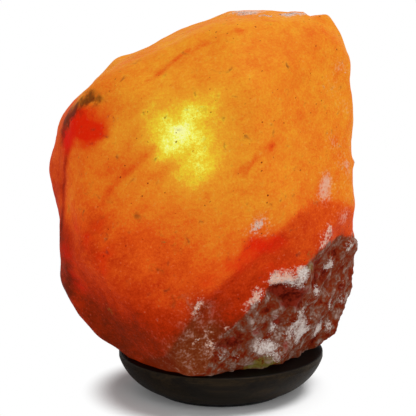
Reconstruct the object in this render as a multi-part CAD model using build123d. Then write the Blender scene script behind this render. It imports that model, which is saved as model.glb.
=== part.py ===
from build123d import *
from math import cos, radians, sin, sqrt
import os

# Salt crystal lamp: a hewn block of rock salt, bored from below, on a turned wooden foot.
#
# A candle bulb stands in the bore, on a small lampholder. Two steel leaves grip the bore of the foot,
# so that the lampholder pulls down out of it when the bulb is changed.
# Millimetres, +Z up. The viewer looks along +Y. The origin is the centre of the felt's underside,
# where the lamp stands.

# ------------------------------------------------------------------ clearances
FIT = 0.1                    # between pieces that are assembled and then stay put
RUNNING_GAP = 0.3            # between a piece that moves and the piece that it moves in
SEAT_GAP = 0.2               # between the clip plate and the ledge that it stops against

# ------------------------------------------------------------------ felt and wooden foot
FELT_THICKNESS = 2.0
FELT_INNER_RADIUS = 31.0
FELT_WIDTH = 11.0
FELT_SETBACK = 3.0           # the felt stops this far from each side of the cord groove
BASE_FOOT_RADIUS = 43.0      # at the underside
BASE_RADIUS = 65.0           # at the flat top
BASE_HEIGHT = 24.0
BASE_RIM_BAND = 3.5          # upright band below the flat top
BASE_RIM_ROUND = 1.0
BASE_SIDE_BULGE = 3.8
BASE_BORE_RADIUS = 21.0
RECESS_RADIUS = 28.0         # turned in the underside, for the clip plate
RECESS_DEPTH = 14.0
GROOVE_WIDTH = 9.0           # the cord's way out, at the back
GROOVE_DEPTH = 8.0

# ------------------------------------------------------------------ stone
STONE_BORE_RADIUS = 25.0
STONE_BORE_DEPTH = 145.0
STONE_HEART_X = -10.0        # the point that the struck faces are measured from
STONE_HEART_HEIGHT = 99.0    # above the foot's flat top
STONE_REACH = 100.0          # the mean reach of the struck faces from that point
STONE_STOCK = 300.0          # rough block before the faces are struck

# Each struck face is (heading, tilt, share). Heading 0 faces the viewer and 90 the right,
# tilt is upwards from level, and share is the face's distance from the stone's heart,
# as a share of the mean reach.
SIDE_FACE_ANGLES = [
    (-6, 3, 0.76), (42, 6, 0.82), (90, 2, 0.92), (132, 3, 0.86), (178, 2, 0.74),
    (222, 4, 0.86), (262, -4, 0.92), (300, 5, 0.91), (330, 12, 0.85),
]
SHOULDER_FACE_ANGLES = [
    (-40, 87, 1.12), (-84, 66, 0.99), (-92, 43, 0.99), (-90, 17, 1.00), (92, 31, 1.20), (-25, 42, 1.01),
    (25, 40, 1.10), (60, 50, 1.28), (170, 45, 1.00), (215, 50, 0.95), (130, 48, 1.18),
]
UNDERCUT_FACE_ANGLES = [
    (-88, -39, 1.01), (-88, -10, 0.93), (88, -16, 1.02), (92, -32, 1.11), (24, -12, 0.79),
    (60, -17, 0.87), (-50, -31, 0.96), (180, -33, 0.92), (220, -35, 0.97), (135, -30, 1.00),
]

# Squarish chunks stand proud of the struck faces, most of them in the crust of the lower right.
# Each is (heading, tilt, spin, width, rise): spin turns the chunk on its face, and width and
# rise are shares of the mean reach.
CHUNK_TIP = 10               # each chunk leans by this angle from its face
CHUNKS = [
    (26, -37, 20, 0.28, 0.022), (43, -27, 60, 0.22, 0.025), (35, -54, 80, 0.26, 0.020),
    (78, -45, 35, 0.30, 0.020), (93, -35, 15, 0.24, 0.016), (84, -23, 10, 0.20, 0.006),
    (140, -42, 65, 0.26, 0.020),
]

# ------------------------------------------------------------------ screws that hold the stone
SCREW_ANGLES = (30, 150, 270)
SCREW_CIRCLE_RADIUS = 36.5
SCREW_RADIUS = 2.0
SCREW_LENGTH = 36.0
SCREW_POINT = 4.0
SCREW_HEAD_RADIUS = 4.0
SCREW_HEAD_HEIGHT = 2.4
SCREW_HEAD_SINK = 0.3
SCREW_SLOT_WIDTH = 1.0
SCREW_SLOT_DEPTH = 1.0
SCREW_HOLE_RADIUS = 2.25
ANCHOR_RADIUS = 4.0
ANCHOR_LENGTH = 22.0
ANCHOR_HOLE_SPARE = 2.0      # the drilled hole is this much deeper than the anchor

# ------------------------------------------------------------------ clip plate, leaves, rivets
PLATE_RADIUS = 27.0
PLATE_THICKNESS = 1.0
PLATE_LIP = 3.0              # rim pressed downwards
LEAF_ANGLES = (90, 270)
LEAF_THICKNESS = 0.6
LEAF_WIDTH = 8.0
LEAF_BOW_HEIGHT = 6.5        # above the plate, where the leaf presses on the bore
LEAF_TOP_HEIGHT = 24.0
LEAF_TOP_RADIUS = 16.2
LEAF_FOOT_BEND = 1.5
LEAF_BOW_BEND = 9.0
RIVET_CIRCLE_RADIUS = 16.5
RIVET_RADIUS = 1.5
RIVET_HEAD_RADIUS = 2.0
RIVET_HEAD_HEIGHT = 0.9

# ------------------------------------------------------------------ lampholder
NIPPLE_RADIUS = 5.0
NIPPLE_BORE_RADIUS = 3.2
NIPPLE_BELOW = 5.0           # how far it stands below the plate
NUT_ACROSS_FLATS = 14.0
NUT_THICKNESS = 4.0
HOLDER_RADIUS = 14.0
HOLDER_WALL = 1.6
CAP_HEIGHT = 14.0
CAP_FLOOR = 6.0
CAP_EDGE_BEVEL = 2.0
BODY_HEIGHT = 34.0
SPIGOT_LENGTH = 4.0          # the body's lower end enters the cap by this much
BODY_LEDGE = 2.0             # carries the core
CORE_HEIGHT = 6.0
SHELL_HEIGHT = 18.0
SHELL_WALL = 0.4
SHELL_THREAD_GAP = 0.25      # around the crests of the bulb's thread
SHELL_FOOT_RADIUS = 5.2      # inner edge of the shell's foot

# ------------------------------------------------------------------ contacts and terminals
CONTACT_THICKNESS = 0.4
CONTACT_WIDTH = 4.0
CONTACT_FOOT_X = -4.2
CONTACT_BEND_X = -1.5
CONTACT_RISE_X = 1.5
CONTACT_END_X = 3.2
CONTACT_RISE = 2.1
TERMINAL_HEIGHT = 5.6
TERMINAL_DEPTH = 6.0
TERMINAL_LENGTH = 5.6
TERMINAL_CENTRES_X = (-5.0, 5.6)
TERMINAL_POST_X = (-3.2, 6.2)
TERMINAL_POST_RADIUS = 1.0
CONDUCTOR_HOLE_RADIUS = 1.2
CONDUCTOR_HOLE_Y = 1.2
CONDUCTOR_HOLE_DEPTH = 4.4
TERMINAL_SCREW_RADIUS = 1.2
TERMINAL_SCREW_LENGTH = 2.2
TERMINAL_HEAD_RADIUS = 2.2
TERMINAL_HEAD_HEIGHT = 1.4

# ------------------------------------------------------------------ bulb
BULB_LENGTH = 98.0
TIP_RADIUS = 2.4
TIP_HEIGHT = 1.6
INSULATOR_HEIGHT = 2.6
THREAD_CREST_RADIUS = 6.95
THREAD_ROOT_RADIUS = 6.35
THREAD_PITCH = 2.822
THREAD_TURNS = 5
BULB_CAP_WALL = 0.4
SKIRT_RADIUS = 8.5
SKIRT_FLARE = 1.6            # height of the cone between thread and skirt
SKIRT_HEIGHT = 4.4
GLASS_WALL = 0.8
GLASS_SINK = 3.4             # how far the glass enters the skirt
GLASS_BELLY_RADIUS = 17.5
GLASS_BELLY_HEIGHT = 26.0    # above the skirt
GLASS_TIP_RADIUS = 3.0
GLASS_TIP_HEIGHT = 2.6
GLASS_NECK_PULL = 9.0        # lengths of the curve's handles along the bulb
GLASS_BELLY_PULL = 13.0
GLASS_SHOULDER_PULL = 16.0
GLASS_TIP_PULL = 13.0
STEM_FLARE_HEIGHT = 1.0
STEM_FOOT_RADIUS = 3.2
STEM_FOOT_HEIGHT = 4.0
STEM_TOP_RADIUS = 2.4
STEM_HEIGHT = 22.0
WIRE_RADIUS = 0.3
WIRE_FOOT_X = 1.4
WIRE_TOP_X = 6.0
WIRE_RISE = 5.0
WIRE_HEIGHT = 20.0
WIRE_BEND = 3.0
FILAMENT_RADIUS = 0.35
FILAMENT_BELOW_WIRE_TOP = 0.8

# ------------------------------------------------------------------ levels, from the table upwards
base_bottom = FELT_THICKNESS
base_top = base_bottom + BASE_HEIGHT
ledge = base_bottom + RECESS_DEPTH
plate_top = ledge - SEAT_GAP
plate_bottom = plate_top - PLATE_THICKNESS
cap_top = plate_top + CAP_HEIGHT
body_top = cap_top + BODY_HEIGHT
core_bottom = cap_top + BODY_LEDGE
core_top = core_bottom + CORE_HEIGHT
contact_top = core_top + CONTACT_RISE + CONTACT_THICKNESS
tip_bottom = contact_top + RUNNING_GAP
insulator_bottom = tip_bottom + TIP_HEIGHT
bulb_cap_bottom = insulator_bottom + INSULATOR_HEIGHT
skirt_bottom = bulb_cap_bottom + THREAD_TURNS * THREAD_PITCH + SKIRT_FLARE
skirt_top = skirt_bottom + SKIRT_HEIGHT
glass_bottom = skirt_top - GLASS_SINK
bulb_top = tip_bottom + BULB_LENGTH

shell_inner_radius = THREAD_CREST_RADIUS + SHELL_THREAD_GAP
glass_neck_radius = SKIRT_RADIUS - BULB_CAP_WALL - FIT
spigot_radius = HOLDER_RADIUS - HOLDER_WALL - FIT


# ------------------------------------------------------------------ helpers
def turned(*outline):
    """A solid of revolution about Z, from straight runs through (radius, height) points."""
    return revolve(make_face(Plane.XZ * Polyline(*outline, close=True)), Axis.Z)


def tube(outer_radius, inner_radius, bottom, top):
    """An upright tube about Z."""
    return turned((inner_radius, bottom), (outer_radius, bottom),
                  (outer_radius, top), (inner_radius, top))


def rod(radius, bottom, top, x=0.0, y=0.0):
    """An upright solid cylinder."""
    return Pos(x, y, (bottom + top) / 2) * Cylinder(radius, top - bottom)


def round_z(angle):
    """The turn about Z that takes a piece made at +X to its angle."""
    return Rot(0, 0, angle)


# ------------------------------------------------------------------ stone and its screws
def from_heart(heading, tilt):
    """The line from the stone's heart in a direction."""
    turn, rise = radians(heading), radians(tilt)
    heart = Vector(STONE_HEART_X, 0, base_top + STONE_HEART_HEIGHT)
    return Axis(heart, Vector(sin(turn) * cos(rise), -cos(turn) * cos(rise), sin(rise)))


def struck_block():
    """The block between its struck faces and its sawn foot."""
    block = Pos(STONE_HEART_X, 0, base_top + STONE_STOCK / 2) * Box(
        STONE_STOCK, STONE_STOCK, STONE_STOCK)
    for heading, tilt, share in SIDE_FACE_ANGLES + SHOULDER_FACE_ANGLES + UNDERCUT_FACE_ANGLES:
        ray = from_heart(heading, tilt)
        struck = Plane(origin=ray.position + ray.direction * STONE_REACH * share, z_dir=ray.direction)
        block = split(block, bisect_by=struck, keep=Keep.BOTTOM)
    return block


def salt_crystal():
    """The block with its chunks, a sawn flat foot, a blind bore and three anchor holes."""
    block = struck_block()
    stone = block
    for heading, tilt, spin, width_share, rise_share in CHUNKS:
        spot, outward = block.find_intersection_points(from_heart(heading, tilt))[-1]
        place = Plane(origin=spot, z_dir=outward).location * Rot(0, 0, spin) * Rot(CHUNK_TIP, 0, 0)
        width, rise = STONE_REACH * width_share, STONE_REACH * rise_share
        stone += place * Pos(0, 0, rise - width / 2) * Box(width, width, width)
    stone = split(stone, bisect_by=Plane.XY.offset(base_top), keep=Keep.TOP)
    stone -= rod(STONE_BORE_RADIUS, base_top, base_top + STONE_BORE_DEPTH)
    hole_top = base_top + ANCHOR_LENGTH + ANCHOR_HOLE_SPARE
    for angle in SCREW_ANGLES:
        stone -= round_z(angle) * rod(ANCHOR_RADIUS + FIT, base_top, hole_top, x=SCREW_CIRCLE_RADIUS)
    return stone


def crystal_screw():
    """One countersunk screw, slotted, at +X on its circle."""
    head_bottom = base_bottom + SCREW_HEAD_SINK
    top = head_bottom + SCREW_LENGTH
    screw = turned((0, head_bottom), (SCREW_HEAD_RADIUS, head_bottom),
                   (SCREW_RADIUS, head_bottom + SCREW_HEAD_HEIGHT),
                   (SCREW_RADIUS, top - SCREW_POINT), (0, top))
    slot = Pos(0, 0, head_bottom) * Box(2 * SCREW_HEAD_RADIUS, SCREW_SLOT_WIDTH, 2 * SCREW_SLOT_DEPTH)
    return Pos(SCREW_CIRCLE_RADIUS, 0, 0) * (screw - slot)


def screw_anchor():
    """One plastic anchor, at +X on the screws' circle, split by the screw's hole."""
    sleeve = tube(ANCHOR_RADIUS, SCREW_RADIUS + FIT, base_top, base_top + ANCHOR_LENGTH)
    return Pos(SCREW_CIRCLE_RADIUS, 0, 0) * sleeve


# ------------------------------------------------------------------ foot
def wood_base():
    """The turned foot: bowl-like side, flat top, bore, recess, cord groove and screw holes."""
    band_bottom = base_top - BASE_RIM_BAND
    side = SagittaArc((BASE_FOOT_RADIUS, base_bottom), (BASE_RADIUS, band_bottom), -BASE_SIDE_BULGE)
    band = Line((BASE_RADIUS, band_bottom), (BASE_RADIUS, base_top - BASE_RIM_ROUND))
    edge = RadiusArc((BASE_RADIUS, base_top - BASE_RIM_ROUND),
                     (BASE_RADIUS - BASE_RIM_ROUND, base_top), -BASE_RIM_ROUND)
    rest = Polyline((BASE_RADIUS - BASE_RIM_ROUND, base_top), (0, base_top),
                    (0, base_bottom), (BASE_FOOT_RADIUS, base_bottom))
    foot = revolve(make_face(Plane.XZ * (side + band + edge + rest)), Axis.Z)
    foot -= rod(BASE_BORE_RADIUS, base_bottom, base_top)
    foot -= rod(RECESS_RADIUS, base_bottom, ledge)
    foot -= Pos(0, BASE_RADIUS / 2, base_bottom) * Box(GROOVE_WIDTH, BASE_RADIUS, 2 * GROOVE_DEPTH)
    sink = base_bottom + SCREW_HEAD_SINK
    countersink = turned((0, base_bottom), (SCREW_HEAD_RADIUS + FIT, base_bottom),
                         (SCREW_HEAD_RADIUS + FIT, sink),
                         (SCREW_HOLE_RADIUS, sink + SCREW_HEAD_HEIGHT),
                         (SCREW_HOLE_RADIUS, base_top), (0, base_top))
    for angle in SCREW_ANGLES:
        foot -= round_z(angle) * Pos(SCREW_CIRCLE_RADIUS, 0, 0) * countersink
    return foot


def felt_ring():
    """The felt under the foot, open at the back beside the cord groove."""
    outer_radius = FELT_INNER_RADIUS + FELT_WIDTH
    gap_width = GROOVE_WIDTH + 2 * FELT_SETBACK
    gap = Pos(0, outer_radius, FELT_THICKNESS / 2) * Box(gap_width, 2 * FELT_WIDTH + FELT_INNER_RADIUS,
                                                         FELT_THICKNESS)
    return tube(outer_radius, FELT_INNER_RADIUS, 0, FELT_THICKNESS) - gap


# ------------------------------------------------------------------ clip plate, leaves and rivets
def clip_plate():
    """The pressed disc that closes the bore, with a lip turned down and holes for what it carries."""
    plate = tube(PLATE_RADIUS, NIPPLE_RADIUS + FIT, plate_bottom, plate_top)
    plate += tube(PLATE_RADIUS, PLATE_RADIUS - PLATE_THICKNESS, plate_top - PLATE_LIP, plate_bottom)
    for angle in LEAF_ANGLES:
        plate -= round_z(angle) * rod(RIVET_RADIUS + FIT, plate_bottom, plate_top, x=RIVET_CIRCLE_RADIUS)
    return plate


def spring_leaf():
    """One steel leaf, at +X: a riveted foot, a bow that presses on the bore, and an inward top."""
    half = LEAF_THICKNESS / 2
    bow_radius = sqrt((BASE_BORE_RADIUS - RUNNING_GAP) ** 2 - (LEAF_WIDTH / 2) ** 2) - half
    route = FilletPolyline((HOLDER_RADIUS + 2 * half, plate_top + half), (bow_radius, plate_top + half),
                           (bow_radius, plate_top + LEAF_BOW_HEIGHT),
                           (LEAF_TOP_RADIUS, plate_top + LEAF_TOP_HEIGHT),
                           radius=[LEAF_FOOT_BEND, LEAF_BOW_BEND])
    strip = make_face(offset(route, amount=half, side=Side.BOTH).wire())
    leaf = extrude(Plane.XZ * strip, amount=LEAF_WIDTH / 2, both=True)
    return leaf - rod(RIVET_RADIUS + FIT, plate_top - half, plate_top + 2 * LEAF_THICKNESS,
                      x=RIVET_CIRCLE_RADIUS)


def clip_rivet():
    """One rivet, at +X, with a head above the leaf and one below the plate."""
    leaf_top = plate_top + LEAF_THICKNESS
    rivet = turned((0, plate_bottom - RIVET_HEAD_HEIGHT),
                   (RIVET_RADIUS, plate_bottom - RIVET_HEAD_HEIGHT),
                   (RIVET_HEAD_RADIUS, plate_bottom), (RIVET_RADIUS, plate_bottom),
                   (RIVET_RADIUS, leaf_top), (RIVET_HEAD_RADIUS, leaf_top),
                   (RIVET_RADIUS, leaf_top + RIVET_HEAD_HEIGHT), (0, leaf_top + RIVET_HEAD_HEIGHT))
    return Pos(RIVET_CIRCLE_RADIUS, 0, 0) * rivet


# ------------------------------------------------------------------ lampholder
def cord_nipple():
    """The hollow nipple that the cord enters by, from below the nut to the cap's floor."""
    return tube(NIPPLE_RADIUS, NIPPLE_BORE_RADIUS, plate_bottom - NIPPLE_BELOW, plate_top + CAP_FLOOR)


def nipple_nut():
    """The hexagon nut that clamps the plate."""
    hexagon = extrude(RegularPolygon(NUT_ACROSS_FLATS / 2, 6, major_radius=False), amount=NUT_THICKNESS)
    nut = Pos(0, 0, plate_bottom - NUT_THICKNESS) * hexagon
    return nut - rod(NIPPLE_RADIUS + FIT, plate_bottom - NUT_THICKNESS, plate_bottom)


def holder_cap():
    """The lower cup, with a thick floor that takes the nipple."""
    inner_radius = HOLDER_RADIUS - HOLDER_WALL
    floor_top = plate_top + CAP_FLOOR
    return turned((NIPPLE_RADIUS + FIT, plate_top), (HOLDER_RADIUS - CAP_EDGE_BEVEL, plate_top),
                  (HOLDER_RADIUS, plate_top + CAP_EDGE_BEVEL), (HOLDER_RADIUS, cap_top),
                  (inner_radius, cap_top), (inner_radius, floor_top), (NIPPLE_RADIUS + FIT, floor_top))


def holder_body():
    """The upper sleeve: a spigot that enters the cap, an inner ledge, and an open mouth."""
    inner_radius = HOLDER_RADIUS - HOLDER_WALL
    throat = spigot_radius - HOLDER_WALL
    return turned((throat, cap_top - SPIGOT_LENGTH), (spigot_radius, cap_top - SPIGOT_LENGTH),
                  (spigot_radius, cap_top), (HOLDER_RADIUS, cap_top), (HOLDER_RADIUS, body_top),
                  (inner_radius, body_top), (inner_radius, core_bottom), (throat, core_bottom))


def holder_core():
    """The insulating core, with a hole for each terminal's post."""
    core = rod(HOLDER_RADIUS - HOLDER_WALL - FIT, core_bottom, core_top)
    for x in TERMINAL_POST_X:
        core -= rod(TERMINAL_POST_RADIUS + FIT, core_bottom, core_top, x=x)
    return core


def screw_shell():
    """The brass shell around the bulb's thread, on an inward foot."""
    outer_radius = shell_inner_radius + SHELL_WALL
    return turned((SHELL_FOOT_RADIUS, core_top), (outer_radius, core_top),
                  (outer_radius, core_top + SHELL_HEIGHT), (shell_inner_radius, core_top + SHELL_HEIGHT),
                  (shell_inner_radius, core_top + SHELL_WALL), (SHELL_FOOT_RADIUS, core_top + SHELL_WALL))


def centre_contact():
    """The bent brass leaf that stands up under the bulb's tip."""
    low = core_top
    high = core_top + CONTACT_RISE
    leaf = Polyline((CONTACT_FOOT_X, low), (CONTACT_BEND_X, low), (CONTACT_RISE_X, high),
                    (CONTACT_END_X, high), (CONTACT_END_X, high + CONTACT_THICKNESS),
                    (CONTACT_RISE_X, high + CONTACT_THICKNESS),
                    (CONTACT_BEND_X, low + CONTACT_THICKNESS),
                    (CONTACT_FOOT_X, low + CONTACT_THICKNESS), close=True)
    return extrude(Plane.XZ * make_face(leaf), amount=CONTACT_WIDTH / 2, both=True)


def screw_seat(block_x):
    """Where a clamping screw meets the front of its block, with +Z into the block."""
    return Pos(block_x, -TERMINAL_DEPTH / 2, core_bottom - TERMINAL_HEIGHT / 2) * Rot(-90, 0, 0)


def terminal(block_x, post_x):
    """One terminal block under the core, with its post, conductor hole and screw hole."""
    bottom = core_bottom - TERMINAL_HEIGHT
    block = Pos(block_x, 0, core_bottom - TERMINAL_HEIGHT / 2) * Box(
        TERMINAL_LENGTH, TERMINAL_DEPTH, TERMINAL_HEIGHT)
    block += rod(TERMINAL_POST_RADIUS, core_bottom, core_top, x=post_x)
    block -= rod(CONDUCTOR_HOLE_RADIUS, bottom, bottom + CONDUCTOR_HOLE_DEPTH, x=block_x,
                 y=CONDUCTOR_HOLE_Y)
    screw_hole = Cylinder(TERMINAL_SCREW_RADIUS + FIT, TERMINAL_SCREW_LENGTH + FIT,
                          align=(Align.CENTER, Align.CENTER, Align.MIN))
    return block - screw_seat(block_x) * screw_hole


def terminal_screw(block_x):
    """One clamping screw, in the front of its block."""
    head = Pos(0, 0, -TERMINAL_HEAD_HEIGHT / 2) * Cylinder(TERMINAL_HEAD_RADIUS, TERMINAL_HEAD_HEIGHT)
    shank = Pos(0, 0, TERMINAL_SCREW_LENGTH / 2) * Cylinder(TERMINAL_SCREW_RADIUS, TERMINAL_SCREW_LENGTH)
    return screw_seat(block_x) * (head + shank)


# ------------------------------------------------------------------ bulb
def bulb_tip_contact():
    """The solder tip, slightly narrower below."""
    return turned((0, tip_bottom), (TIP_RADIUS - TIP_HEIGHT / 2, tip_bottom),
                  (TIP_RADIUS, tip_bottom + TIP_HEIGHT / 2), (TIP_RADIUS, insulator_bottom),
                  (0, insulator_bottom))


def bulb_insulator():
    """The black glass cone between the tip and the screw cap."""
    return turned((0, insulator_bottom), (TIP_RADIUS, insulator_bottom),
                  (THREAD_ROOT_RADIUS - BULB_CAP_WALL, bulb_cap_bottom), (0, bulb_cap_bottom))


def bulb_cap():
    """The thin screw cap: rolls one pitch apart, a flare and a skirt."""
    thread_top = bulb_cap_bottom + THREAD_TURNS * THREAD_PITCH
    outline = Curve()
    for turn in range(THREAD_TURNS):
        low = bulb_cap_bottom + turn * THREAD_PITCH
        outline += ThreePointArc((THREAD_ROOT_RADIUS, low), (THREAD_CREST_RADIUS, low + THREAD_PITCH / 2),
                                 (THREAD_ROOT_RADIUS, low + THREAD_PITCH))
    outline += Polyline((THREAD_ROOT_RADIUS, thread_top), (SKIRT_RADIUS, skirt_bottom),
                        (SKIRT_RADIUS, skirt_top), (SKIRT_RADIUS - BULB_CAP_WALL, skirt_top),
                        (SKIRT_RADIUS - BULB_CAP_WALL, skirt_bottom),
                        (THREAD_ROOT_RADIUS - BULB_CAP_WALL, thread_top),
                        (THREAD_ROOT_RADIUS - BULB_CAP_WALL, bulb_cap_bottom),
                        (THREAD_ROOT_RADIUS, bulb_cap_bottom))
    return revolve(make_face(Plane.XZ * outline), Axis.Z)


def candle_form(inset):
    """The candle-shaped solid of the envelope, drawn in by an inset at its side and its tip."""
    neck = glass_neck_radius - inset
    belly = GLASS_BELLY_RADIUS - inset
    belly_height = skirt_top + GLASS_BELLY_HEIGHT
    tip = GLASS_TIP_RADIUS - inset
    top = bulb_top - inset
    tip_height = top - GLASS_TIP_HEIGHT
    rise = Bezier((neck, skirt_top), (neck, skirt_top + GLASS_NECK_PULL),
                  (belly, belly_height - GLASS_BELLY_PULL), (belly, belly_height))
    fall = Bezier((belly, belly_height), (belly, belly_height + GLASS_SHOULDER_PULL),
                  (tip, tip_height - GLASS_TIP_PULL), (tip, tip_height))
    close = Bezier((tip, tip_height), (tip, top), (tip / 2, top), (0, top))
    rest = Polyline((0, top), (0, glass_bottom), (neck, glass_bottom), (neck, skirt_top))
    return revolve(make_face(Plane.XZ * (rise + fall + close + rest)), Axis.Z)


def bulb_glass():
    """The hollow envelope, open at its lower edge, where the stem closes it."""
    return candle_form(0) - candle_form(GLASS_WALL)


def bulb_stem():
    """The glass stem, with a flare that closes the envelope."""
    flare_radius = glass_neck_radius - GLASS_WALL - FIT
    return turned((0, glass_bottom), (flare_radius, glass_bottom),
                  (flare_radius, glass_bottom + STEM_FLARE_HEIGHT),
                  (STEM_FOOT_RADIUS, glass_bottom + STEM_FOOT_HEIGHT),
                  (STEM_TOP_RADIUS, glass_bottom + STEM_HEIGHT), (0, glass_bottom + STEM_HEIGHT))


def lead_wire(side):
    """One lead wire, from the stem's top out and up to the filament."""
    foot = glass_bottom + STEM_HEIGHT
    route = FilletPolyline((side * WIRE_FOOT_X, 0, foot), (side * WIRE_FOOT_X, 0, foot + WIRE_RISE),
                           (side * WIRE_TOP_X, 0, foot + 2 * WIRE_RISE),
                           (side * WIRE_TOP_X, 0, foot + WIRE_HEIGHT), radius=WIRE_BEND)
    section = Plane(origin=route @ 0, z_dir=route % 0) * Circle(WIRE_RADIUS)
    return sweep(section, path=route)


def filament():
    """The coiled filament between the wires, as a fine straight tube."""
    level = glass_bottom + STEM_HEIGHT + WIRE_HEIGHT - FILAMENT_BELOW_WIRE_TOP
    half_length = WIRE_TOP_X - WIRE_RADIUS
    return Pos(0, 0, level) * Rot(0, 90, 0) * Cylinder(FILAMENT_RADIUS, 2 * half_length)


# ------------------------------------------------------------------ all pieces, by node name
PIECES = {
    "salt_crystal": salt_crystal(),
    "wood_base": wood_base(),
    "felt_ring": felt_ring(),
    "crystal_screws": Compound([round_z(angle) * crystal_screw() for angle in SCREW_ANGLES]),
    "screw_anchors": Compound([round_z(angle) * screw_anchor() for angle in SCREW_ANGLES]),
    "clip_plate": clip_plate(),
    "spring_clips": Compound([round_z(angle) * spring_leaf() for angle in LEAF_ANGLES]),
    "clip_rivets": Compound([round_z(angle) * clip_rivet() for angle in LEAF_ANGLES]),
    "cord_nipple": cord_nipple(),
    "nipple_nut": nipple_nut(),
    "holder_cap": holder_cap(),
    "holder_body": holder_body(),
    "holder_core": holder_core(),
    "screw_shell": screw_shell(),
    "centre_contact": centre_contact(),
    "terminals": Compound([terminal(x, post) for x, post in zip(TERMINAL_CENTRES_X, TERMINAL_POST_X)]),
    "terminal_screws": Compound([terminal_screw(x) for x in TERMINAL_CENTRES_X]),
    "bulb_tip_contact": bulb_tip_contact(),
    "bulb_insulator": bulb_insulator(),
    "bulb_cap": bulb_cap(),
    "bulb_glass": bulb_glass(),
    "bulb_stem": bulb_stem(),
    "bulb_lead_wires": Compound([lead_wire(side) for side in (-1, 1)]),
    "filament": filament(),
}

os.makedirs("parts", exist_ok=True)
for name, piece in PIECES.items():
    export_step(piece, f"parts/{name}.step")

print(f"bulb top {bulb_top:.1f}, bore top {base_top + STONE_BORE_DEPTH:.1f}, "
      f"bulb tip {tip_bottom:.1f}, nipple {plate_bottom - NIPPLE_BELOW:.1f}")
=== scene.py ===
import bmesh
import bpy
import math
import numpy as np
from functools import partial
from mathutils import Matrix, Vector


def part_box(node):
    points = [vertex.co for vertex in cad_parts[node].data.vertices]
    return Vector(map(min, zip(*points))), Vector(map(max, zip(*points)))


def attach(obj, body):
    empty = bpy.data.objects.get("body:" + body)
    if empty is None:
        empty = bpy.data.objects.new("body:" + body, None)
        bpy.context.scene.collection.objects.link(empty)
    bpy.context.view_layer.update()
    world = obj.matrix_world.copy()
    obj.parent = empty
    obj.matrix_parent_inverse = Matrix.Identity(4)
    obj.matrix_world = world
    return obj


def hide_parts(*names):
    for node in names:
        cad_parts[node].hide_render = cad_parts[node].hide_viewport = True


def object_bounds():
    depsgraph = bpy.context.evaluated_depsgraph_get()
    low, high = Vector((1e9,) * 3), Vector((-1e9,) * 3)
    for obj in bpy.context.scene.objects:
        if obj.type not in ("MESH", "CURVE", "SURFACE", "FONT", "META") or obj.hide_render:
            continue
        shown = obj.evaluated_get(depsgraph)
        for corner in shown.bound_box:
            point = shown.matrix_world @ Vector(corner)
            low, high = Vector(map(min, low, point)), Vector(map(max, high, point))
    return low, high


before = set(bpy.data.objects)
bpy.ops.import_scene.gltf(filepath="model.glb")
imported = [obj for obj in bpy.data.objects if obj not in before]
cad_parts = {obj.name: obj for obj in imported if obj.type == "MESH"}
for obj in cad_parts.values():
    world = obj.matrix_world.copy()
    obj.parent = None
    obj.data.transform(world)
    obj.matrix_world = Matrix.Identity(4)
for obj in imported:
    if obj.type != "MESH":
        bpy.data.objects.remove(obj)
cad_low, cad_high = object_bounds()

# ------------------------------------------------------------------ felt ring
# A ring die-cut from 2 mm wool felt and glued under the foot, so that the wood doesn't scratch
# a table. It is open at the back, where the cord leaves. Its cut edge is soft, with loose hairs.
MM = 0.001
FELT_OPENING_RADIUS = 31 * MM
FELT_EDGE_ROUND = 0.45 * MM
FELT_FRAY = 0.12 * MM
FELT_GAP_HALF_WIDTH, FELT_GAP_RADIUS = 7.5, 42   # millimetres: half the gap, so far from the axis
FELT_GAP_HALF_ANGLE = math.asin(FELT_GAP_HALF_WIDTH / FELT_GAP_RADIUS)
FELT_STEPS = 180
FELT_HAIRS = 260000.0        # to the square metre
FELT_HAIR_LENGTH = 1.8 * MM
FELT_HAIR_SHORTEST = 0.4 * FELT_HAIR_LENGTH
FELT_HAIR_FOOT = 0.03        # the radius of a hair's foot, as a share of the hair's length
FELT_HAIR_LEAN = 1.2         # radians, at most
FELT_HAIR_CLEARANCE = 0.02   # millimetres, from the table and from the wood


def linear(colour):
    """The linear red, green, blue and alpha of an sRGB hex value."""
    parts = [int(colour[start:start + 2], 16) / 255 for start in (1, 3, 5)]
    return [part / 12.92 if part <= 0.04045 else ((part + 0.055) / 1.055) ** 2.4 for part in parts] + [1.0]


def add_node(tree, kind, inputs=None, stops=None, **settings):
    """Adds a node with its settings, the values or links of its inputs, and a ramp's colour stops."""
    node = tree.nodes.new(kind)
    for name, value in settings.items():
        setattr(node, name, value)
    for name, value in (inputs or {}).items():
        named = [socket for socket in node.inputs if socket.name == name and socket.enabled]
        socket = node.inputs[name] if isinstance(name, int) else named[0]
        if isinstance(value, bpy.types.Node):
            value = next(out for out in value.outputs if out.enabled)
        if isinstance(value, bpy.types.NodeSocket):
            tree.links.new(value, socket)
        else:
            socket.default_value = value
    if stops:
        marks = node.color_ramp.elements
        marks[0].position, marks[1].position = stops[0][0], stops[-1][0]
        for place, _ in stops[1:-1]:
            marks.new(place)
        for mark, (_, colour) in zip(marks, stops):
            mark.color = linear(colour)
    return node


def new_finish(name):
    """An empty material of that name, the call that adds its nodes, and the place on the piece in mm."""
    material = bpy.data.materials.new(name)
    material.use_nodes = True
    material.node_tree.nodes.clear()
    add = partial(add_node, material.node_tree)
    own = add("ShaderNodeTexCoord").outputs["Object"]
    return material, add, add("ShaderNodeVectorMath", {0: own, "Scale": 1000.0}, operation="SCALE")


def lay_finish(add, inputs):
    """Ends a material with its shader."""
    add("ShaderNodeOutputMaterial", {"Surface": add("ShaderNodeBsdfPrincipled", inputs)})


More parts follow.
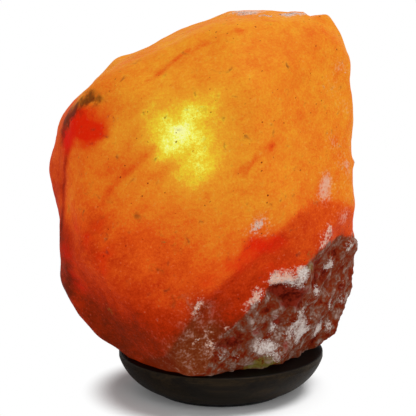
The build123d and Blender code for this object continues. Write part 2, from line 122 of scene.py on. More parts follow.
def wool_felt():
    """Pressed wool: matt and soft, mottled where the fibres felted unevenly, so it drinks the light."""
    material, add, place = new_finish("black_wool_felt")
    tuft_size, fibre_size = 3.0, 0.25
    tufts = add("ShaderNodeTexNoise", {"Vector": place, "Scale": 1 / tuft_size, "Detail": 5.0})
    fibres = add("ShaderNodeTexNoise", {
        "Vector": place, "Scale": 1 / fibre_size, "Detail": 3.0, "Distortion": 1.5})
    colour = add("ShaderNodeValToRGB", {"Fac": tufts}, stops=[
        (0.3, "#141415"), (0.55, "#232324"), (0.75, "#303032")])
    bump = add("ShaderNodeBump", {"Height": fibres, "Strength": 0.7, "Distance": 0.3 * MM})
    lay_finish(add, {"Base Color": colour, "Roughness": 0.95, "Normal": bump, "Sheen Weight": 0.35,
                     "Sheen Roughness": 0.5, "Specular IOR Level": 0.2})
    return material


def new_piece(name, mesh, material):
    """An object from a finished mesh, with its material."""
    piece = bpy.data.objects.new(name, mesh)
    bpy.context.scene.collection.objects.link(piece)
    mesh.materials.clear()
    mesh.materials.append(material)
    return piece


def swept_mesh(name, rings, closed):
    """A closed mesh through rings of points: joined end to end, or with its two end rings filled."""
    mesh = bmesh.new()
    rows = [[mesh.verts.new(point) for point in ring] for ring in rings]
    pairs = list(zip(rows, rows[1:])) + ([(rows[-1], rows[0])] if closed else [])
    for row, following in pairs:
        for index in range(len(row)):
            after = (index + 1) % len(row)
            mesh.faces.new((row[index], row[after], following[after], following[index]))
    if not closed:
        mesh.faces.new(rows[0])
        mesh.faces.new(rows[-1])
    bmesh.ops.recalc_face_normals(mesh, faces=mesh.faces)
    data = bpy.data.meshes.new(name)
    mesh.to_mesh(data)
    mesh.free()
    data.shade_smooth()
    return data


def put_attribute(mesh, name, values):
    """Keeps one number for each point under a name, for a finish or for what grows there."""
    layer = mesh.attributes.get(name) or mesh.attributes.new(name, "FLOAT", "POINT")
    layer.data.foreach_set("value", np.asarray(values, np.float32))


def points_of(mesh):
    """The mesh's points in millimetres."""
    flat = np.zeros(3 * len(mesh.vertices), np.float32)
    mesh.vertices.foreach_get("co", flat)
    return flat.reshape(-1, 3).astype(float) / MM


def put_points(mesh, points):
    """Moves the mesh's points to places in millimetres."""
    mesh.vertices.foreach_set("co", (points * MM).astype(np.float32).ravel())
    mesh.update()


def new_growth(name, sizes):
    """An empty geometry tree with named sizes, the call that adds its nodes, and its inputs."""
    tree = bpy.data.node_groups.new(name, "GeometryNodeTree")
    tree.interface.new_socket("Geometry", in_out="INPUT", socket_type="NodeSocketGeometry")
    tree.interface.new_socket("Geometry", in_out="OUTPUT", socket_type="NodeSocketGeometry")
    for size, value in sizes.items():
        tree.interface.new_socket(size, in_out="INPUT", socket_type="NodeSocketFloat").default_value = value
    add = partial(add_node, tree)
    return tree, add, add("NodeGroupInput").outputs


def end_growth(add, geometry, material):
    """Ends a geometry tree: the instances become real, and all of it takes its material."""
    real = add("GeometryNodeRealizeInstances", {"Geometry": geometry})
    coated = add("GeometryNodeSetMaterial", {"Geometry": real, "Material": material})
    add("NodeGroupOutput", {"Geometry": coated})


def mesh_from(holder):
    """The plain mesh that an object's modifiers give. The object itself is removed."""
    mesh = bpy.data.meshes.new_from_object(holder.evaluated_get(bpy.context.evaluated_depsgraph_get()))
    holder.modifiers.clear()
    bpy.data.objects.remove(holder)
    return mesh


def grown_mesh(tree, start, sizes):
    """The plain mesh that a geometry tree makes from a starting mesh, with its named sizes."""
    holder = bpy.data.objects.new("growing", start)
    bpy.context.scene.collection.objects.link(holder)
    growth = holder.modifiers.new("growth", "NODES")
    growth.node_group = tree
    for item in tree.interface.items_tree:
        if item.in_out == "INPUT" and item.name in sizes:
            growth[item.identifier] = sizes[item.name]
    return mesh_from(holder)


def scattered_growth(name, material, form, form_inputs):
    """A tree that scatters one small form over a surface, as thickly as its attribute "spread" says."""
    tree, add, sizes = new_growth(name, {
        "Per Square Metre": 1000.0, "Smallest": 1 * MM, "Largest": 2 * MM, "Lean": 1.0})
    place_seed, size_seed, lean_seed = 7, 11, 13
    spread = add("GeometryNodeInputNamedAttribute", {"Name": "spread"}, data_type="FLOAT")
    density = add("ShaderNodeMath", {0: spread, 1: sizes["Per Square Metre"]}, operation="MULTIPLY")
    points = add("GeometryNodeDistributePointsOnFaces", {
        "Mesh": sizes["Geometry"], "Density": density, "Seed": place_seed})
    size = add("FunctionNodeRandomValue", {
        "Min": sizes["Smallest"], "Max": sizes["Largest"], "Seed": size_seed}, data_type="FLOAT")
    back = add("ShaderNodeMath", {0: sizes["Lean"], 1: -1.0}, operation="MULTIPLY")
    lean = add("FunctionNodeRandomValue", {
        "Min": back, "Max": sizes["Lean"], "Seed": lean_seed}, data_type="FLOAT_VECTOR")
    turned = add("FunctionNodeRotateRotation", {
        "Rotation": points.outputs["Rotation"], "Rotate By": lean}, rotation_space="LOCAL")
    placed = add("GeometryNodeInstanceOnPoints", {
        "Points": points.outputs["Points"], "Instance": add(form, form_inputs), "Rotation": turned,
        "Scale": size})
    end_growth(add, placed, material)
    return tree


def felt_mesh():
    """The open ring, with rounded cut edges and a slightly wavy rim."""
    low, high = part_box("felt_ring")
    inner, outer = FELT_OPENING_RADIUS, high.x
    corners = [(inner, low.z), (outer, low.z), (outer, high.z), (inner, high.z)]
    profile = []
    for index, (radius, level) in enumerate(corners):
        centre_r = radius + (FELT_EDGE_ROUND if radius == inner else -FELT_EDGE_ROUND)
        centre_z = level + (FELT_EDGE_ROUND if level == low.z else -FELT_EDGE_ROUND)
        for step in range(4):
            turn = math.radians(180 + 90 * index + 30 * step)
            profile.append((centre_r + FELT_EDGE_ROUND * math.cos(turn),
                            centre_z + FELT_EDGE_ROUND * math.sin(turn)))
    rings = []
    sweep = 2 * math.pi - 2 * FELT_GAP_HALF_ANGLE
    for step in range(FELT_STEPS + 1):
        turn = math.pi / 2 + FELT_GAP_HALF_ANGLE + sweep * step / FELT_STEPS
        wave = FELT_FRAY * math.sin(17 * turn) * math.sin(41 * turn)
        radii = [r + wave * (r - inner) / (outer - inner) - FELT_FRAY for r, _ in profile]
        rings.append([(radius * math.cos(turn), radius * math.sin(turn), level)
                      for radius, (_, level) in zip(radii, profile)])
    return swept_mesh("felt_pad", rings, closed=False)


black_felt = wool_felt()
felt_pad = new_piece("felt_pad", felt_mesh(), black_felt)
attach(felt_pad, "base")
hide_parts("felt_ring")

put_attribute(felt_pad.data, "spread", np.ones(len(felt_pad.data.vertices)))
hair_growth = scattered_growth("felt_hairs", black_felt, "GeometryNodeMeshCone", {
    "Vertices": 3, "Radius Top": 0.0, "Radius Bottom": FELT_HAIR_FOOT, "Depth": 1.0})
hair_mesh = grown_mesh(hair_growth, felt_pad.data, {
    "Per Square Metre": FELT_HAIRS, "Smallest": FELT_HAIR_SHORTEST, "Largest": FELT_HAIR_LENGTH,
    "Lean": FELT_HAIR_LEAN})
hair_points = points_of(hair_mesh)
felt_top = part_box("felt_ring")[1].z / MM
hair_points[:, 2] = np.clip(hair_points[:, 2], FELT_HAIR_CLEARANCE, felt_top - FELT_HAIR_CLEARANCE)
put_points(hair_mesh, hair_points)
felt_hairs = new_piece("felt_hairs", hair_mesh, black_felt)
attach(felt_hairs, "base")

# ------------------------------------------------------------------ wooden foot
# A turned beech foot, stained nearly black and waxed. The board's grain lies along X, so its lines
# run level round the bowl-shaped side. The wax gives a dull sheen, and the rim's edge is rubbed and
# carries a painted highlight.


def stained_beech():
    """Black-stained beech: fine level grain, slow year rings and short open pores, under satin wax."""
    material, add, place = new_finish("black_stained_beech")
    figures = {}
    for name, length, width, detail in (("grain", 55.0, 1.1, 4.0), ("pores", 7.0, 0.4, 1.0),
                                        ("rings", 160.0, 7.0, 2.0)):
        space = add("ShaderNodeMapping", {
            "Vector": place, "Scale": (length, width, width)}, vector_type="TEXTURE")
        figures[name] = add("ShaderNodeTexNoise", {"Vector": space, "Scale": 1.0, "Detail": detail})
    both = add("ShaderNodeMath", {0: figures["grain"], 1: figures["rings"]}, operation="ADD")
    mean = add("ShaderNodeMath", {0: both, 1: 0.5}, operation="MULTIPLY")
    stain = add("ShaderNodeValToRGB", {"Fac": mean}, stops=[
        (0.32, "#0f0c09"), (0.48, "#1b150e"), (0.62, "#2b2114"), (0.78, "#3b2d1a")])
    pore_mask = add("ShaderNodeMapRange", {
        "Value": figures["pores"], "From Min": 0.62, "From Max": 0.72})
    colour = add("ShaderNodeMix", {
        "Factor": pore_mask, "A": stain, "B": linear("#070504")}, data_type="RGBA")

    # Radius and level add up to most on the rim's edge, which is lighter brown: partly rubbed to the bare
    # wood's brown, partly a painted highlight along the edge.
    rub_and_highlight_start, rub_and_highlight_full, most_rub_and_highlight = 90.2, 91.6, 0.12
    parts = add("ShaderNodeSeparateXYZ", {"Vector": place}).outputs
    across_squared = add("ShaderNodeMath", {0: parts["X"], 1: 2.0}, operation="POWER")
    squares = add("ShaderNodeMath", {
        0: parts["Y"], 1: parts["Y"], 2: across_squared}, operation="MULTIPLY_ADD")
    radius = add("ShaderNodeMath", {0: squares}, operation="SQRT")
    rough_level = add("ShaderNodeMath", {0: parts["Z"], 1: figures["grain"]}, operation="ADD")
    reach = add("ShaderNodeMath", {0: radius, 1: rough_level}, operation="ADD")
    rim = add("ShaderNodeMapRange", {
        "Value": reach, "From Min": rub_and_highlight_start, "From Max": rub_and_highlight_full, "To Max": most_rub_and_highlight})
    colour = add("ShaderNodeMix", {
        "Factor": rim, "A": colour, "B": linear("#5a4526")}, data_type="RGBA")

    # Painted shade: the flat top under the stone is coloured the darkest.
    top_shade_start, top_shade_full = 25.2, 25.9
    top = add("ShaderNodeMapRange", {"Value": parts["Z"], "From Min": top_shade_start, "From Max": top_shade_full})
    colour = add("ShaderNodeMix", {
        "Factor": top, "A": colour, "B": linear("#060504")}, data_type="RGBA")
    relief = add("ShaderNodeMath", {0: figures["grain"], 1: pore_mask}, operation="SUBTRACT")
    bump = add("ShaderNodeBump", {"Height": relief, "Strength": 0.25, "Distance": 0.25 * MM})
    gloss = add("ShaderNodeMapRange", {"Value": figures["rings"], "To Min": 0.40, "To Max": 0.58})
    lay_finish(add, {"Base Color": colour, "Roughness": gloss, "Normal": bump,
                     "Specular IOR Level": 0.05, "IOR": 1.5})
    return material


def finish_node(node, material):
    """Gives a CAD piece its finish."""
    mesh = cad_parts[node].data
    mesh.materials.clear()
    mesh.materials.append(material)


finish_node("wood_base", stained_beech())

# ------------------------------------------------------------------ screws and anchors
# Three countersunk steel screws go up through the foot into ribbed nylon anchors in the stone.
# The screws are zinc-plated: pale, cool and faintly brushed. The anchors are grey moulded nylon.


def brushed_metal(name, bright, dull, roughness, mark_length, mark_width):
    """A metal with the marks of its making, so long across and so wide upright, and duller patches."""
    material, add, place = new_finish(name)
    marks_space = add("ShaderNodeMapping", {
        "Vector": place, "Scale": (mark_length, mark_length, mark_width)}, vector_type="TEXTURE")
    marks = add("ShaderNodeTexNoise", {"Vector": marks_space, "Scale": 1.0, "Detail": 3.0})
    patch_size = 5.0
    patches = add("ShaderNodeTexNoise", {"Vector": place, "Scale": 1 / patch_size, "Detail": 4.0})
    colour = add("ShaderNodeValToRGB", {"Fac": patches}, stops=[(0.35, dull), (0.65, bright)])
    rough = add("ShaderNodeMapRange", {
        "Value": patches, "To Min": roughness + 0.12, "To Max": roughness - 0.08})
    bump = add("ShaderNodeBump", {"Height": marks, "Strength": 0.2, "Distance": 0.05 * MM})
    lay_finish(add, {"Base Color": colour, "Metallic": 1.0, "Roughness": rough, "Normal": bump})
    return material


def moulded_plastic(name, colour, shade, roughness, grain_size):
    """A moulded plastic: even colour, a fine spark-eroded grain from its mould, slightly cloudy gloss."""
    material, add, place = new_finish(name)
    cloud_size = 20 * grain_size
    grain = add("ShaderNodeTexNoise", {"Vector": place, "Scale": 1 / grain_size, "Detail": 2.0})
    clouds = add("ShaderNodeTexNoise", {"Vector": place, "Scale": 1 / cloud_size})
    tint = add("ShaderNodeValToRGB", {"Fac": clouds}, stops=[(0.3, shade), (0.7, colour)])
    rough = add("ShaderNodeMapRange", {
        "Value": clouds, "To Min": roughness - 0.06, "To Max": roughness + 0.06})
    bump = add("ShaderNodeBump", {"Height": grain, "Strength": 0.25, "Distance": 0.08 * MM})
    lay_finish(add, {"Base Color": tint, "Roughness": rough, "Normal": bump})
    return material


zinc_plate = brushed_metal("zinc_plated_steel", "#c9ccce", "#a3a7aa", 0.34, mark_length=6.0, mark_width=0.2)
finish_node("crystal_screws", zinc_plate)
finish_node("screw_anchors", moulded_plastic(
    "grey_moulded_nylon", "#8f9296", "#7c7f83", 0.55, grain_size=0.5))

# ------------------------------------------------------------------ clip plate, leaves and rivets
# A pressed zinc-plated disc closes the foot's bore. Two leaves of blued spring steel are riveted to it
# and press on the bore's wall, so that the whole lampholder pulls down by hand.
finish_node("clip_plate", zinc_plate)
finish_node("clip_rivets", brushed_metal(
    "bright_steel_rivet", "#b9bbbc", "#8f9295", 0.28, mark_length=2.0, mark_width=0.3))
finish_node("spring_clips", brushed_metal(
    "blued_spring_steel", "#6e7686", "#4a5060", 0.26, mark_length=0.3, mark_width=9.0))

# ------------------------------------------------------------------ lampholder
# A small-screw lampholder: a hollow brass nipple and its nut clamp the plate, and carry two black
# phenolic mouldings. Inside are a steatite core, the brass screw shell, contact and terminals.


def fired_steatite():
    """Unglazed pressed ceramic: chalky off-white, with a fine dry grain and faint fired-in specks."""
    material, add, place = new_finish("unglazed_steatite")
    grain_size, speck_spacing = 0.4, 2.2
    grain = add("ShaderNodeTexNoise", {"Vector": place, "Scale": 1 / grain_size, "Detail": 4.0})
    specks = add("ShaderNodeTexVoronoi", {"Vector": place, "Scale": 1 / speck_spacing})
    speck = add("ShaderNodeMapRange", {
        "Value": specks, "From Min": 0.06, "From Max": 0.12, "To Min": 0.5, "To Max": 0.0})
    body = add("ShaderNodeValToRGB", {"Fac": grain}, stops=[(0.3, "#d8d2c4"), (0.7, "#ece8dd")])
    colour = add("ShaderNodeMix", {"Factor": speck, "A": body, "B": linear("#8f8675")}, data_type="RGBA")
    bump = add("ShaderNodeBump", {"Height": grain, "Strength": 0.4, "Distance": 0.1 * MM})
    lay_finish(add, {"Base Color": colour, "Roughness": 0.78, "Normal": bump})
    return material


brass = brushed_metal("drawn_brass", "#d9b566", "#b08a45", 0.3, mark_length=4.0, mark_width=0.25)
phenolic = moulded_plastic("black_moulded_phenolic", "#1d1b1a", "#141312", 0.32, grain_size=0.6)
for node in ("cord_nipple", "nipple_nut", "screw_shell", "centre_contact", "terminals"):
    finish_node(node, brass)
for node in ("holder_cap", "holder_body"):
    finish_node(node, phenolic)
finish_node("terminal_screws", zinc_plate)
finish_node("holder_core", fired_steatite())

# ------------------------------------------------------------------ bulb
# A clear candle bulb with a 14 mm screw cap. The thin nickel-bright cap has a rolled right-hand
# thread; a glass stem carries two wires and the glowing coil, and black glass insulates the tip.
CAP_ROOT, CAP_CREST = 6.35 * MM, 6.95 * MM       # the thread's radii
CAP_PITCH = 2.822 * MM
CAP_TURNS = 5
CAP_FLARE = 1.6 * MM         # the cap's rise from the thread to its skirt
CAP_SKIRT = 8.5 * MM
CAP_LIP = 0.3 * MM
CAP_WALL = 0.4 * MM
CAP_SIDES, CAP_THREAD_ROWS = 72, 60
COIL_RADIUS, COIL_WIRE = 0.28 * MM, 0.07 * MM
COIL_TURNS = 34


def cap_radius(level, turn, bottom):
    """The cap's outer radius at a level and a turn about its axis: the thread, the flare, the skirt."""
    thread_top = bottom + CAP_TURNS * CAP_PITCH
    if level >= thread_top:
        share = min(1.0, (level - thread_top) / CAP_FLARE)
        return CAP_ROOT + (CAP_SKIRT - CAP_ROOT) * share
    wave = 0.5 - 0.5 * math.cos(2 * math.pi * (level - bottom) / CAP_PITCH - turn)
    fade = min(1.0, (level - bottom) / (0.5 * CAP_PITCH), (thread_top - level) / (0.5 * CAP_PITCH))
    return CAP_ROOT + (CAP_CREST - CAP_ROOT) * wave * max(0.0, fade)


def cap_mesh():
    """The cap: an outer skin with the thread, an inner skin one wall inside, both joined at the ends."""
    bottom, top = (corner.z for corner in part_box("bulb_cap"))
    thread_top = bottom + CAP_TURNS * CAP_PITCH
    levels = [bottom + (thread_top - bottom) * row / CAP_THREAD_ROWS for row in range(CAP_THREAD_ROWS + 1)]
    skirt_bottom = thread_top + CAP_FLARE
    levels += [skirt_bottom, skirt_bottom + CAP_LIP, top - CAP_LIP, top]
    turns = [2 * math.pi * side / CAP_SIDES for side in range(CAP_SIDES)]
    skins = []
    for inset in (0.0, CAP_WALL):
        skins.append([[((cap_radius(level, turn, bottom) - inset) * math.cos(turn),
                        (cap_radius(level, turn, bottom) - inset) * math.sin(turn), level)
                       for turn in turns] for level in levels])
    return swept_mesh("bulb_screw_cap", skins[0] + skins[1][::-1], closed=True)


def blown_glass(name, tint, roughness):
    """Thin clear glass: blown, so very slightly rippled, with a breath of dust that blurs it in places."""
    material, add, place = new_finish(name)
    ripple_size, dust_size = 9.0, 4.0
    ripples = add("ShaderNodeTexNoise", {"Vector": place, "Scale": 1 / ripple_size})
    dust = add("ShaderNodeTexNoise", {"Vector": place, "Scale": 1 / dust_size, "Detail": 6.0})
    rough = add("ShaderNodeMapRange", {
        "Value": dust, "From Min": 0.45, "From Max": 0.75, "To Min": roughness, "To Max": roughness + 0.07})
    bump = add("ShaderNodeBump", {"Height": ripples, "Strength": 0.1, "Distance": 0.4 * MM})
    lay_finish(add, {"Base Color": linear(tint), "Roughness": rough, "Normal": bump, "IOR": 1.5,
                     "Transmission Weight": 1.0})
    return material


def glowing_tungsten():
    """The hot coil: warm white, brightest mid-way between its wires, and redder at its cooled ends."""
    material, add, place = new_finish("glowing_tungsten")
    hot_reach, cooled_reach = 3.5, 5.7
    across = add("ShaderNodeSeparateXYZ", {"Vector": place}).outputs["X"]
    end_distance = add("ShaderNodeMath", {0: across}, operation="ABSOLUTE")
    heat = add("ShaderNodeMapRange", {
        "Value": end_distance, "From Min": hot_reach, "From Max": cooled_reach,
        "To Min": 1.0, "To Max": 0.0})
    glow = add("ShaderNodeValToRGB", {"Fac": heat}, stops=[(0.0, "#ff7a2a"), (1.0, "#ffe2a8")])
    lay_finish(add, {"Base Color": linear("#8c8c8e"), "Metallic": 1.0, "Roughness": 0.4,
                     "Emission Color": glow, "Emission Strength": 3.0})
    return material


def coil_growth(material):
    """A tree that winds the filament: a helix on X, swept with its round wire."""
    tree, add, sizes = new_growth("filament_coil", {
        "Turns": 30.0, "Radius": 0.3 * MM, "Length": 10 * MM, "Wire": 0.1 * MM})
    helix = add("GeometryNodeCurveSpiral", {
        "Resolution": 14, "Rotations": sizes["Turns"], "Start Radius": sizes["Radius"],
        "End Radius": sizes["Radius"], "Height": sizes["Length"]})
    wire = add("GeometryNodeCurvePrimitiveCircle", {"Resolution": 6, "Radius": sizes["Wire"]})
    swept = add("GeometryNodeCurveToMesh", {"Curve": helix, "Profile Curve": wire, "Fill Caps": True})
    end_growth(add, swept, material)
    return tree


cap_piece = new_piece("bulb_screw_cap", cap_mesh(), brushed_metal(
    "nickel_bright_cap", "#d2d3d2", "#acadab", 0.24, mark_length=5.0, mark_width=0.3))
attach(cap_piece, "bulb")
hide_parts("bulb_cap")

tungsten = glowing_tungsten()
coil_low, coil_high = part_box("filament")
coil_mesh = grown_mesh(coil_growth(tungsten), bpy.data.meshes.new("coil_start"), {
    "Turns": float(COIL_TURNS), "Radius": COIL_RADIUS, "Wire": COIL_WIRE,
    "Length": coil_high.x - coil_low.x - 2 * COIL_WIRE})
coil_start = Matrix.Translation((coil_low.x + COIL_WIRE, 0, (coil_low.z + coil_high.z) / 2))
coil_mesh.transform(coil_start @ Matrix.Rotation(math.pi / 2, 4, "Y"))
coil_piece = new_piece("filament_coil", coil_mesh, tungsten)
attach(coil_piece, "bulb")
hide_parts("filament")

finish_node("bulb_glass", blown_glass("clear_blown_glass", "#fdfbf5", 0.01))
finish_node("bulb_stem", blown_glass("clear_pressed_glass", "#f2f6f1", 0.04))
finish_node("bulb_lead_wires", brushed_metal(
    "nickel_iron_wire", "#b3aca0", "#857e72", 0.35, mark_length=0.4, mark_width=3.0))
finish_node("bulb_tip_contact", brushed_metal(
    "dull_solder", "#a9abad", "#84878a", 0.42, mark_length=1.0, mark_width=0.8))
finish_node("bulb_insulator", moulded_plastic(
    "black_insulating_glass", "#121216", "#0a0a0d", 0.16, grain_size=0.9))

# ------------------------------------------------------------------ stone
# A block of rock salt hewn from the seam, brushed and oiled, its foot sawn flat and bored from below.
# The bulb's light through it is painted into its own emission by place: pale yellow where the wall is
# thin and clear, red-brown near the foot, where a coarse crust of halite and red clay keeps the light in.

# The stone's places and levels are millimetres from the middle of the lamp's underside.
STONE_FOOT = 26.0
BORE_RADIUS, BORE_TOP = 25.0, 171.0
ANCHOR_HOLE_RADIUS, ANCHOR_HOLE_TOP = 4.1, 50.0
ANCHOR_CIRCLE = 36.5
ANCHOR_ANGLES = (30, 150, 270)
FILL_SPARE = 1.0             # how far the rods that fill the bore and holes run into the stone round them
DRILL_OVERRUN = 4            # how far the drills reach below the foot
BORE_GLOW, BORE_SKIN = 0.8, 0.5          # how brightly the bore's wall glows, and how far into the stone
STONE_NET = 1.5 * MM         # the width of a face in the stone's mesh
RELIEF_START, RELIEF_FULL = 0.1, 2.5     # above the sawn foot
WEAR_ROUNDS = 36
CREASE_WEAR, CREASE_REACH = 0.35, 30     # the share of wear on the crease, and where it is full again
CRUST_WEAR = 0.25            # the share of wear on the crust, which keeps its edges
CLUSTER_RISE, POCKET_DEPTH = 2.4, 1.4    # how far a full cluster of frost stands proud, a pocket is sunk
SWELL_SIZE, SWELL_HEIGHT = 34 * MM, 4.5 * MM
SCALLOP_SIZE, SCALLOP_HEIGHT = 24 * MM, 1.2 * MM
RIPPLE_SIZE, RIPPLE_HEIGHT = 9 * MM, 0.9 * MM
LUMP_SIZE, LUMP_HEIGHT = 9 * MM, 5 * MM
CRUMB_SIZE, CRUMB_HEIGHT = 3.6 * MM, 2.6 * MM
BOX_CLEARANCE = 0.05         # how far the finished stone stays inside the CAD model's box

# The crease where the front face turns under, and the crust's upper limit, as (across, level).
CREASE_LINE = [(-60, 10), (-44, 33), (-10, 84), (24, 116), (46, 134), (77, 128)]
CRUST_LINE = [
    (-60, 14), (-20, 20), (-10, 30), (-2, 54), (11, 67), (24, 77), (41, 88), (58, 102), (70, 105),
    (84, 110),
]
CRUST_DROP, CRUST_DROP_START = 0.3, -25  # the limit's fall for each millimetre behind that place
RAGGED_FOOT, RAGGED_MOST = 33, 0.8       # the foot is ragged below this level, and how much of a crust
# The skyline's notches, as (across, level).
SKYLINE = [
    (20, 240), (29, 238.2), (41, 238.0), (45, 239.4), (50, 239.2), (54, 236.2), (59, 237.4), (63, 238.4),
    (66, 237.4), (70, 233.0), (90, 226.0),
]

# Soft round spots are (x, y, z, reach, amount); veins are (start, end, width, amount).
# The first list is the block's form: where it stands proud of its struck faces, or is hollowed.
BULGES_AND_HOLLOWS = [
    (-101, -18, 115, 12, -2.8), (-105, -10, 144, 8, 1.4), (-102, -4, 166, 10, -3.2),
    (-76, -6, 203, 13, -3.2), (-49, 6, 217, 11, -3.6), (-58, 8, 213, 6, -1.0), (-7, 11, 236, 10, -2.8),
    (62, -6, 236, 9, 3.0), (70, -3, 227, 8, 1.6), (82, -22, 137, 11, -2.6), (81, -18, 156, 11, -2.6),
    (80, -10, 199, 8, -1.8), (-96, -20, 78, 11, 3.6), (-83, -17, 57, 15, 5.6), (-72, -18, 42, 11, 3.4),
    (-60, -30, 66, 22, 2.0), (67, 2, 37, 11, 4.8), (74, 12, 49, 12, 4.8), (81, 14, 61, 9, 2.0),
    (84, -8, 90, 9, 2.4), (86, -4, 101, 6, -2.6), (8, -57, 27, 5, -2.5), (20, -54, 27, 7, -4.5),
    (33, -49, 27, 7, -4.5), (46, -42, 27, 6, -3.5), (58, -30, 28, 6, -2.5),
]
# The glow by level, and the spots and veins where the wall lets more or less light through.
GLOW_BY_LEVEL = [(25, 0.04), (50, 0.15), (84, 0.41), (135, 0.59), (220, 0.66)]
WARM_SPOTS = [
    (-22, -73, 175, 27, 0.26), (-25, -72, 176, 7, 0.10), (-33, -72, 167, 8, 0.18),
    (-17, -73, 188, 6, 0.06), (-10, -75, 157, 11, 0.10), (-20, -74, 147, 10, 0.06),
    (-39, -70, 182, 9, 0.06), (10, -76, 133, 30, 0.05), (-8, 74, 140, 34, 0.20),
]
DULL_SPOTS = [
    (-91, -47, 95, 20, -0.07), (-78, -65, 111, 20, -0.07), (-42, -74, 107, 18, -0.05),
    (-72, -60, 122, 9, -0.06), (60, -39, 90, 9, -0.10), (-20, -70, 222, 16, -0.04),
    (48, -45, 212, 40, -0.05), (-80, -55, 150, 36, -0.06), (45, -55, 124, 16, -0.07),
    (-62, -50, 66, 22, -0.05),
]
DARK_VEINS = [
    ((-38, -53, 209), (12, -49, 234), 2.2, -0.16), ((-44, -56, 203), (-20, -52, 222), 1.6, -0.10),
    ((9, -77, 153), (31, -70, 168), 2.0, -0.15), ((14, -77, 152), (20, -76, 162), 1.6, -0.12),
    ((-38, -71, 168), (-66, -64, 140), 2.6, -0.11), ((-28, -73, 159), (-38, -72, 150), 4.5, -0.10),
    ((-46, -70, 150), (-70, -62, 118), 3.0, -0.07), ((-92, -36, 160), (-97, -33, 105), 2.5, -0.18),
    ((-48, 64, 190), (10, 74, 158), 3.0, -0.14), ((-20, 74, 110), (48, 62, 60), 4.0, -0.12),
    ((84, 10, 190), (82, 40, 150), 2.5, -0.12), ((-92, 20, 150), (-80, 44, 96), 3.0, -0.12),
]
# What colours the stone: iron-red and brown stains in it, white frost and a thin haze of it on the
# skin, partly a painted sheen along the right edges, deep red pockets in the crust, painted with shade
# and glow, brown clay round it, and olive stains of other minerals.
RED_SPOTS = [
    (-79, -48, 178, 10, 0.8), (-84, -46, 172, 8, 0.8), (-90, -37, 166, 7, 0.8), (-87, -40, 180, 8, 0.7),
    (-93, -29, 166, 6, 0.8), (-92, -31, 157, 6, 0.5), (-70, -52, 186, 11, 0.45), (-71, -53, 174, 7, 0.35),
    (21, -71, 108, 9, 0.8), (8, -75, 101, 9, 0.65), (33, -66, 112, 7, 0.5), (30, -62, 92, 10, 0.35),
    (-8, -78, 88, 8, 0.4), (60, -39, 90, 9, 0.5), (30, -71, 167, 5, 0.4), (-72, -66, 124, 6, 0.5),
    (-80, -63, 112, 8, 0.5), (-66, -71, 104, 8, 0.45), (-88, -50, 118, 7, 0.4), (36, 66, 86, 12, 0.5),
    (-50, 62, 70, 14, 0.5), (-92, 22, 120, 10, 0.4), (84, 24, 112, 10, 0.5), (-92, -44, 96, 9, 0.45),
    (-72, -71, 94, 6, 0.4), (-86, -38, 78, 9, 0.4), (-52, -74, 110, 7, 0.25),
]
SHADE_SPOTS = [
    (-76, -46, 195, 5, 0.7), (-81, -43, 191, 6, 0.9), (-87, -38, 184, 7, 1.0), (-92, -31, 176, 7, 1.1),
    (-96, -27, 166, 6, 0.9), (-93, -22, 186, 7, 0.6), (-88, -28, 194, 6, 0.5), (-71, -50, 200, 3.5, 0.5),
    (-22, -53, 217, 2.4, 1.2), (-29, -54, 213, 1.8, 0.8), (-35, -55, 210, 1.6, 0.7),
    (-13, -54, 220, 1.6, 0.7), (-5, -54, 224, 1.8, 0.6), (13, -77, 158, 1.8, 0.7),
    (19, -76, 162, 1.6, 0.5), (33, -50, 215, 1.5, 0.7), (-73, -64, 126, 4, 0.45),
    (-96, -30, 135, 6, 0.35), (-96, -33, 118, 7, 0.45), (-95, -38, 104, 6, 0.4), (-48, -72, 126, 4, 0.35),
    (-36, -75, 97, 5, 0.4), (-26, -76, 109, 4.5, 0.35), (-28, -77, 78, 6, 0.4), (-63, -56, 66, 6, 0.4),
    (-64, -66, 138, 4, 0.25),
]
FROST_SPOTS = [
    (74, -23, 206, 6, 0.35), (60, -38, 196, 6, 0.25), (82, -10, 148, 4, 0.7), (23, -72, 120, 5, 0.9),
    (26, -21, 238, 5, 1), (18, 4, 238, 10, 1.2), (44, -6, 238, 9, 1.1), (63, -8, 237, 5, 0.5),
    (31, -61, 86, 5, 1.16), (44, -56, 87, 7, 1.3), (38, -59, 91, 5.5, 0.87), (58, -51, 104, 6, 0.72),
    (64, -44, 110, 5, 0.87), (69, -30, 86, 6, 1.16), (77, -18, 99, 6, 0.72), (18, -63, 73, 6, 1.2),
    (11, -65, 70, 4.5, 0.72), (22, -62, 76, 4.5, 0.84), (3, -67, 64, 4, 1.08), (15, -61, 61, 5, 0.6),
    (56, -37, 71, 6, 1.3), (71, -6, 68, 7, 1.3), (77, 4, 58, 6, 0.87), (46, -46, 59, 8, 0.87),
    (60, -20, 61, 7, 1.16), (51, -32, 50, 8, 1.16), (59, -14, 43, 7, 1.01), (66, 2, 40, 7, 0.87),
    (28, -56, 55, 5, 0.87), (21, -55, 41, 6, 1.08), (27, -53, 43, 6, 0.4), (32, -50, 36, 6, 0.72),
    (-4, -69, 51, 4, 0.5), (0, -65, 43, 6, 0.6), (10, -62, 38, 5, 0.6), (44, -40, 45, 10, 0.36),
    (38, -50, 51, 8, 0.36), (20, 72, 60, 8, 0.8), (44, 62, 78, 7, 0.7), (64, 46, 62, 8, 0.9),
    (80, 26, 74, 7, 0.8), (-30, 64, 44, 7, 0.7), (70, 34, 42, 7, 0.8), (8, 70, 40, 7, 0.7),
    (-14, -78, 72, 7, 0.3), (-8, -72, 58, 7, 0.32), (-12, -72, 45, 7, 0.3),
]
FROST_STREAKS = [((-10, -79, 82), (-22, -75, 50), 2.4, 0.3), ((-4, -72, 64), (-16, -74, 44), 2.4, 0.25)]
